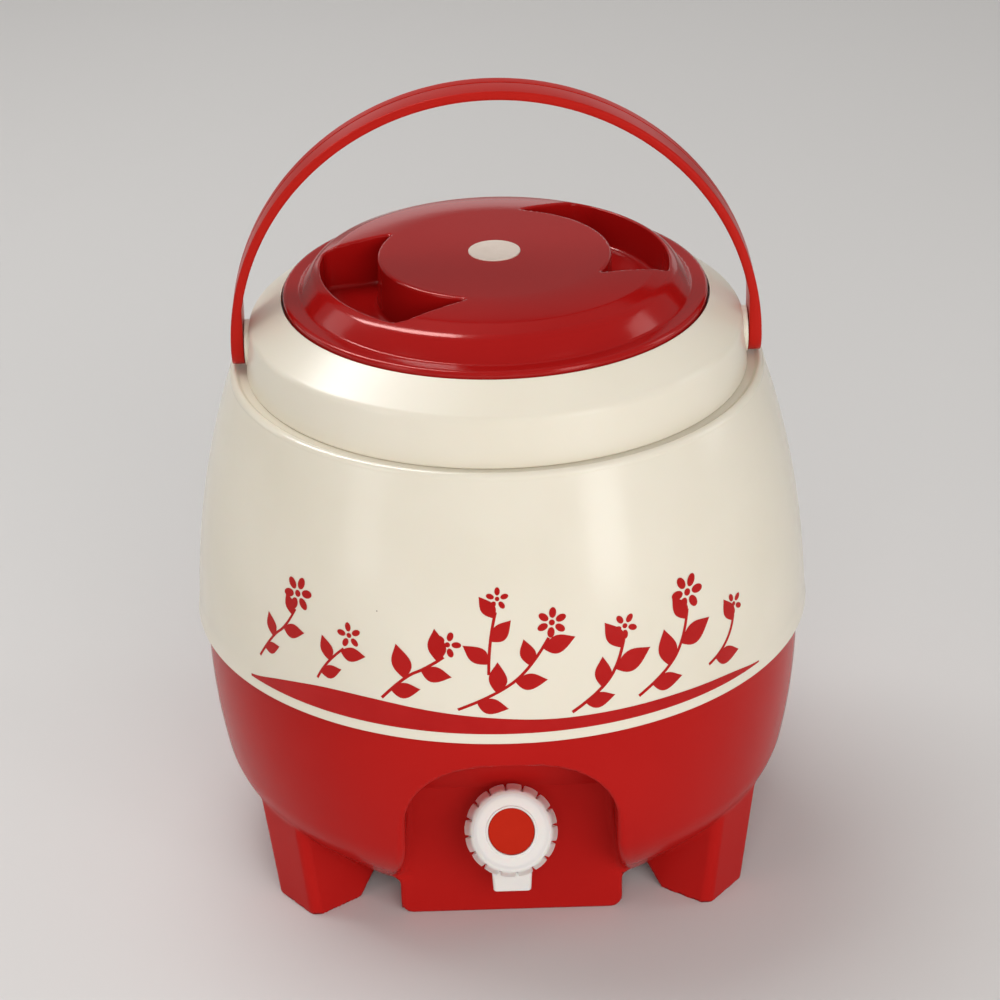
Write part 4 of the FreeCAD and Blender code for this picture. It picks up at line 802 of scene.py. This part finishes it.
for share in spread:
    angle = sector * (share - 0.5)
    near = min(share, 1 - share) * sector
    for i, (r, w) in enumerate(profile):
        deep = np.interp(w, (20, 21, 30.5, 32.8), (1, 1, 0.85, 0)) * np.clip((r - 20.3) / 0.7, 0, 1)
        if i >= len(outside):
            deep = np.clip((r - 22.4) / 2.6, 0, 1)
        groove = max(0.0, 1 - near * r / GROOVE_HALF) ** 0.8 * GROOVE_DEPTH
        swell = LOBE_SWELL * (math.sin(math.pi * share) ** 0.4 - 1)
        reach = r + deep * (swell - groove)
        points.append((reach * math.cos(angle), reach * math.sin(angle), w))


def strip_faces(rows, count):
    """The faces between rows of points, each row a closed outline of that many points."""
    pairs = [(i, (i + 1) % count) for i in range(count)]
    return [(k + i, k + j, k + count + j, k + count + i)
            for k in range(0, (rows - 1) * count, count) for i, j in pairs]


sector_mesh = bpy.data.meshes.new("lobe")
sector_faces = [face[::-1] for face in strip_faces(len(spread), count)]
sector_mesh.from_pydata((np.array(points) / 1000).tolist(), [], sector_faces)

ring_of, given, result = new_tree(
    "ring_of_lobes", "GeometryNodeTree",
    [("Lobe", "NodeSocketGeometry", None), ("Count", "NodeSocketInt", 16),
     ("First Turn", "NodeSocketFloat", 0.0), ("Weld", "NodeSocketFloat", 0.00001),
     ("Finish", "NodeSocketMaterial", None)],
    [("Ring", "NodeSocketGeometry")])
stations = add(ring_of, "GeometryNodePoints", {"Count": given["Count"]})
index = add(ring_of, "GeometryNodeInputIndex").outputs[0]
step = reckon(ring_of, "DIVIDE", math.tau, given["Count"])
turn = reckon(ring_of, "MULTIPLY_ADD", index, step, given["First Turn"])
about = add(ring_of, "ShaderNodeCombineXYZ", {2: turn})
lobes = add(ring_of, "GeometryNodeInstanceOnPoints",
            {"Points": stations.outputs[0], "Instance": given["Lobe"], "Rotation": about.outputs[0]})
real = add(ring_of, "GeometryNodeRealizeInstances", {0: lobes.outputs[0]})
welded = add(ring_of, "GeometryNodeMergeByDistance", {"Geometry": real.outputs[0], "Distance": given["Weld"]})
painted = add(ring_of, "GeometryNodeSetMaterial",
              {"Geometry": welded.outputs[0], "Material": given["Finish"]})
ring_of.links.new(painted.outputs[0], result[0])
spots, found = in_millimetres(grown(sector_mesh, ring_of, {
    "Count": LOBES, "First Turn": FIRST_LOBE - sector / 2, "Weld": 0.00001, "Finish": knob_white}))
knob = piece("knob_white", on_valve(spots), found, knob_white, sharp=28)
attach(knob, "knob")
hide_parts("tap_knob")

cap_line = trace((0, 32.85), (12.35, 32.85, 0.2), (12.35, 34.15, 0.35), (0, 34.3))
spots, found, around = spun(cap_line, 96)
cap = piece("knob_disc", on_valve(spots), found, cap_red, around @ AHEAD.T)
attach(cap, "knob")
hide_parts("knob_cap")


# The lid's top is a deep red gloss moulding: a low dome with a crisp brow, a sloping band under it and
# a flat brim. Two crescent wells are sunk in it for the fingers that screw the lid on, and a blank pale
# disc fills its middle.

cover_white = moulded("cover_white", (0.80, 0.80, 0.77), (0.76, 0.76, 0.73), roughness=0.34, scuffs=0.5)
dress("lid_inner_cover", cover_white)
lid_red = moulded("lid_red", (0.36, 0.0060, 0.0055), (0.34, 0.0052, 0.0047), roughness=0.15, scuffs=0.15,
                  shine=0.5, sheen_tint=(1.0, 0.6, 0.56))
LID_CROWN, LID_WALL, BRIM_REACH, BRIM_TOP = 348.8, 2.5, 113.9, 329.7
WELL_TURN, WELL_INSIDE, WELL_OUTSIDE, WELL_FLOOR = math.radians(203), 62.4, 93.5, 321
dome_line = trace((0, LID_CROWN), (60, 348.0), via(75, 346.9), (87.5, 345.0), (97.2, 341.0), (110, 335.7))
dome_radii = np.arange(0, 118, PROFILE_STEP)
dome_heights = smoothed(np.interp(dome_radii, dome_line[:, 0], dome_line[:, 1]), np.hanning(9))
dome_slopes = np.gradient(dome_heights, PROFILE_STEP)
band_line = trace((106.9, 327), (104.2, 331), via(100.7, 336.2), (97.2, 340.6), (94.8, 343), (88, 349))
band_heights = np.arange(314, 352, PROFILE_STEP)
band_radii = np.interp(band_heights, band_line[:, 1], band_line[:, 0])
band_slopes = np.gradient(band_radii, PROFILE_STEP)


def past_line(x, y, start, finish):
    """How far a point lies to the right of the line from start to finish, seen from above."""
    (r0, a0), (r1, a1) = start, finish
    x0, y0 = r0 * math.cos(math.radians(a0)), r0 * math.sin(math.radians(a0))
    x1, y1 = r1 * math.cos(math.radians(a1)), r1 * math.sin(math.radians(a1))
    long = math.hypot(x1 - x0, y1 - y0)
    return ((x - x0) * (y1 - y0) - (y - y0) * (x1 - x0)) / long


def lid_well(x, y, z):
    """The two finger wells, negative inside them."""
    fold = np.where(x * math.cos(WELL_TURN) + y * math.sin(WELL_TURN) < 0, -1.0, 1.0)
    x, y = x * fold, y * fold
    reach = np.hypot(x, y)
    outer, inner = reach - WELL_OUTSIDE, WELL_INSIDE - reach
    first = past_line(x, y, (WELL_INSIDE, 150.5), (WELL_OUTSIDE, 168))
    last = past_line(x, y, (WELL_OUTSIDE, 237.7), (WELL_INSIDE, 256.5))
    side = np.maximum(np.maximum(round_and(outer, first, 3), round_and(outer, last, 7)),
                      np.maximum(round_and(inner, first, 3), round_and(inner, last, 3)))
    return round_and(side + 0.03 * (LID_CROWN - z), WELL_FLOOR - z, 2.5)


def lid_outside(x, y, z):
    """The lid's face: the dome and the band meet in the brow, over the brim, less the wells."""
    reach = np.hypot(x, y)
    dome = off_line(z, reach, dome_radii, dome_heights, dome_slopes)
    band = off_line(reach, z, band_heights, band_radii, band_slopes)
    top = round_and(dome, band, 1.0)
    brim = round_and(reach - BRIM_REACH, z - BRIM_TOP, 1.8)
    body = round_or(top, brim, 0.7)
    return round_and(body, -lid_well(x, y, z), 1.2)


def lid_form(x, y, z):
    """The wall that follows the lid's face, open below."""
    outside = lid_outside(x, y, z)
    floor = np.where(np.hypot(x, y) < 98, 318.5, 319.6)
    return np.maximum(np.maximum(outside, -LID_WALL - outside), floor - z)


points, faces, normals = skin(lid_form, (-116, -116, 316.4), (116, 116, 350.5), 1.27)
lid = piece("lid_shell", points, faces, lid_red, normals)
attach(lid, "lid")
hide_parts("lid_top")

badge_cream = moulded("badge_cream", (0.75, 0.655, 0.565), (0.71, 0.61, 0.52), roughness=0.35, scale=120.0,
                      ripple=900.0, scuffs=0.5)
badge_line = trace((0, 348.1), (13.9, 348.1, 0.2), (13.9, 349.3, 0.4), (0, 349.35))
spots, found, around = spun(badge_line, 96)
badge = piece("lid_disc", spots, found, badge_cream, around)
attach(badge, "lid")
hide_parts("lid_badge")


# The handle is a half hoop of stiff red plastic strap with a fine groove along its outer face. Each
# end is a flat rounded tongue with a peg that snaps into the collar's hub.

handle_red = moulded("handle_red", (0.47, 0.015, 0.010), (0.45, 0.013, 0.009), roughness=0.3, scuffs=0.1,
                     shine=0.15, sheen_tint=RED_SHINE)
STRAP_INSIDE, STRAP_THICK, TONGUE_INSIDE, TONGUE_DROP = 137.8, 5, 135.9, 11.5
strap_section = trace(
    (5, -5), (5, 2.8, 0.12), (4.5, 2.95, 0.1), (4.5, 4.05, 0.1), (5, 4.2, 0.12), (5, 10.7, 0.7),
    via(2.5, 11.5), (0, 10.7, 0.7), (0, -10.7, 0.7), via(2.5, -11.5), (5, -10.7, 0.7), (5, -5), steps=10)[:-1]
tongue = np.linspace(88, 0, 12)
path = [(1, a) for a in tongue]
path += [(0, a) for a in np.linspace(0, 180, 150)[1:-1]]
path += [(-1, a) for a in tongue[::-1]]
points = []
for side, angle in path:
    swing = math.radians(angle)
    for t, y in strap_section:
        if side:
            drop, narrow = -TONGUE_DROP * math.sin(swing), math.cos(swing)
            x = STRAP_INSIDE + t - (1 - t / STRAP_THICK) * (STRAP_INSIDE - TONGUE_INSIDE)
            x = min(x, math.sqrt((STRAP_INSIDE + STRAP_THICK) ** 2 - drop ** 2))
            points.append((side * x, y * narrow, PIVOT + drop))
        else:
            x, z = (STRAP_INSIDE + t) * math.cos(swing), (STRAP_INSIDE + t) * math.sin(swing)
            past = max(0.0, abs(STRAP_INSIDE * math.cos(swing)) - TONGUE_INSIDE)
            points.append((x - math.copysign((1 - t / STRAP_THICK) * past, x), y, PIVOT + z))
count = len(strap_section)
faces = strip_faces(len(path), count)
faces += [tuple(range(count))[::-1], tuple(range((len(path) - 1) * count, len(path) * count))]
points = np.array(points)
peg_line = trace((0, 122.5), (4.5, 122.5, 0.6), (4.5, 138.4), (0, 138.4))
for side in (1, -1):
    spots, found, _ = turned_to_x(spun(peg_line, 40), side)
    faces += [tuple(i + len(points) for i in face) for face in found]
    points = np.concatenate([points, spots])
handle = piece("strap_handle", points, faces, handle_red, sharp=30)
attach(handle, "bail")
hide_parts("bail_handle")


# The studio: a flat pale floor in soft light. A wide light in front and a high one at the left rear do
# most of it, tall narrow ones draw the long reflections on the barrel, and one only gleams on the lid.

floor_paint = bpy.data.materials.new("studio_floor")
floor_paint.use_nodes = True
shader = floor_paint.node_tree.nodes["Principled BSDF"]
shader.inputs["Base Color"].default_value = (0.70, 0.685, 0.67, 1)
shader.inputs["Roughness"].default_value = 0.7
mesh = bpy.data.meshes.new("studio_floor")
mesh.from_pydata([(-6, -6, 0), (6, -6, 0), (6, 6, 0), (-6, 6, 0)], [], [(0, 1, 2, 3)])
mesh.materials.append(floor_paint)
floor = bpy.data.objects.new("studio_floor", mesh)
bpy.context.scene.collection.objects.link(floor)

world = bpy.data.worlds.new("studio")
bpy.context.scene.world = world
world.use_nodes = True
world.node_tree.nodes["Background"].inputs["Color"].default_value = (0.86, 0.84, 0.82, 1)
world.node_tree.nodes["Background"].inputs["Strength"].default_value = 0.30


def soft_light(name, azimuth, elevation, distance, width, height, power, diffuse=True, glossy=True):
    """A soft rectangular light round the jug; azimuth 0 is in front of it and 90 to its right."""
    a, e = math.radians(azimuth), math.radians(elevation)
    away = Vector((math.sin(a) * math.cos(e), -math.cos(a) * math.cos(e), math.sin(e)))
    lamp = bpy.data.lights.new(name, "AREA")
    lamp.shape = "RECTANGLE"
    lamp.size, lamp.size_y = width, height
    lamp.energy = power
    holder = bpy.data.objects.new(name, lamp)
    holder.location = Vector((0, 0, 0.2)) + away * distance
    holder.visible_diffuse, holder.visible_glossy = diffuse, glossy
    holder.rotation_euler = away.to_track_quat("Z", "Y").to_euler()
    bpy.context.scene.collection.objects.link(holder)


soft_light("front_light", 6, 22, 2.2, 1.5, 0.9, 22.5, glossy=False)
soft_light("left_light", -52, 12, 1.9, 0.5, 1.5, 3.8)
soft_light("right_light", 38, 12, 1.9, 0.5, 1.5, 7.5)
soft_light("far_left_light", -107, 16, 1.9, 0.5, 1.1, 2.2)
soft_light("far_right_light", 94, 16, 1.9, 0.5, 1.1, 3.4)
soft_light("upper_left_light", -140, 62, 1.9, 1.6, 1.3, 21, glossy=False)
soft_light("shine_light", -102, 58, 1.9, 0.4, 1.5, 30, diffuse=False)
soft_light("back_light", 175, 13, 1.9, 2.0, 0.4, 1.5)

# The camera stands well back, looks down on the jug by 27 degrees and is held a little askew.
lens = bpy.data.cameras.new("camera")
lens.sensor_width = 36
lens.lens = 117.23
lens.clip_start, lens.clip_end = 0.05, 50
camera = bpy.data.objects.new("camera", lens)
turn, dip, roll = math.radians(0.8), math.radians(26.98), math.radians(-1.32)
ahead = Vector((math.cos(dip) * math.sin(turn), math.cos(dip) * math.cos(turn), -math.sin(dip)))
right = Vector((math.cos(turn), -math.sin(turn), 0))
above = right.cross(ahead)
rolled = right * math.cos(roll) + above * math.sin(roll)
upright = above * math.cos(roll) - right * math.sin(roll)
facing = Matrix((rolled, upright, -ahead)).transposed()
camera.matrix_world = Matrix.Translation((-0.02246, -1.60884, 1.0186)) @ facing.to_4x4()
bpy.context.scene.collection.objects.link(camera)
bpy.context.scene.camera = camera
bpy.context.scene.view_settings.view_transform = "Standard"

bpy.context.view_layer.update()
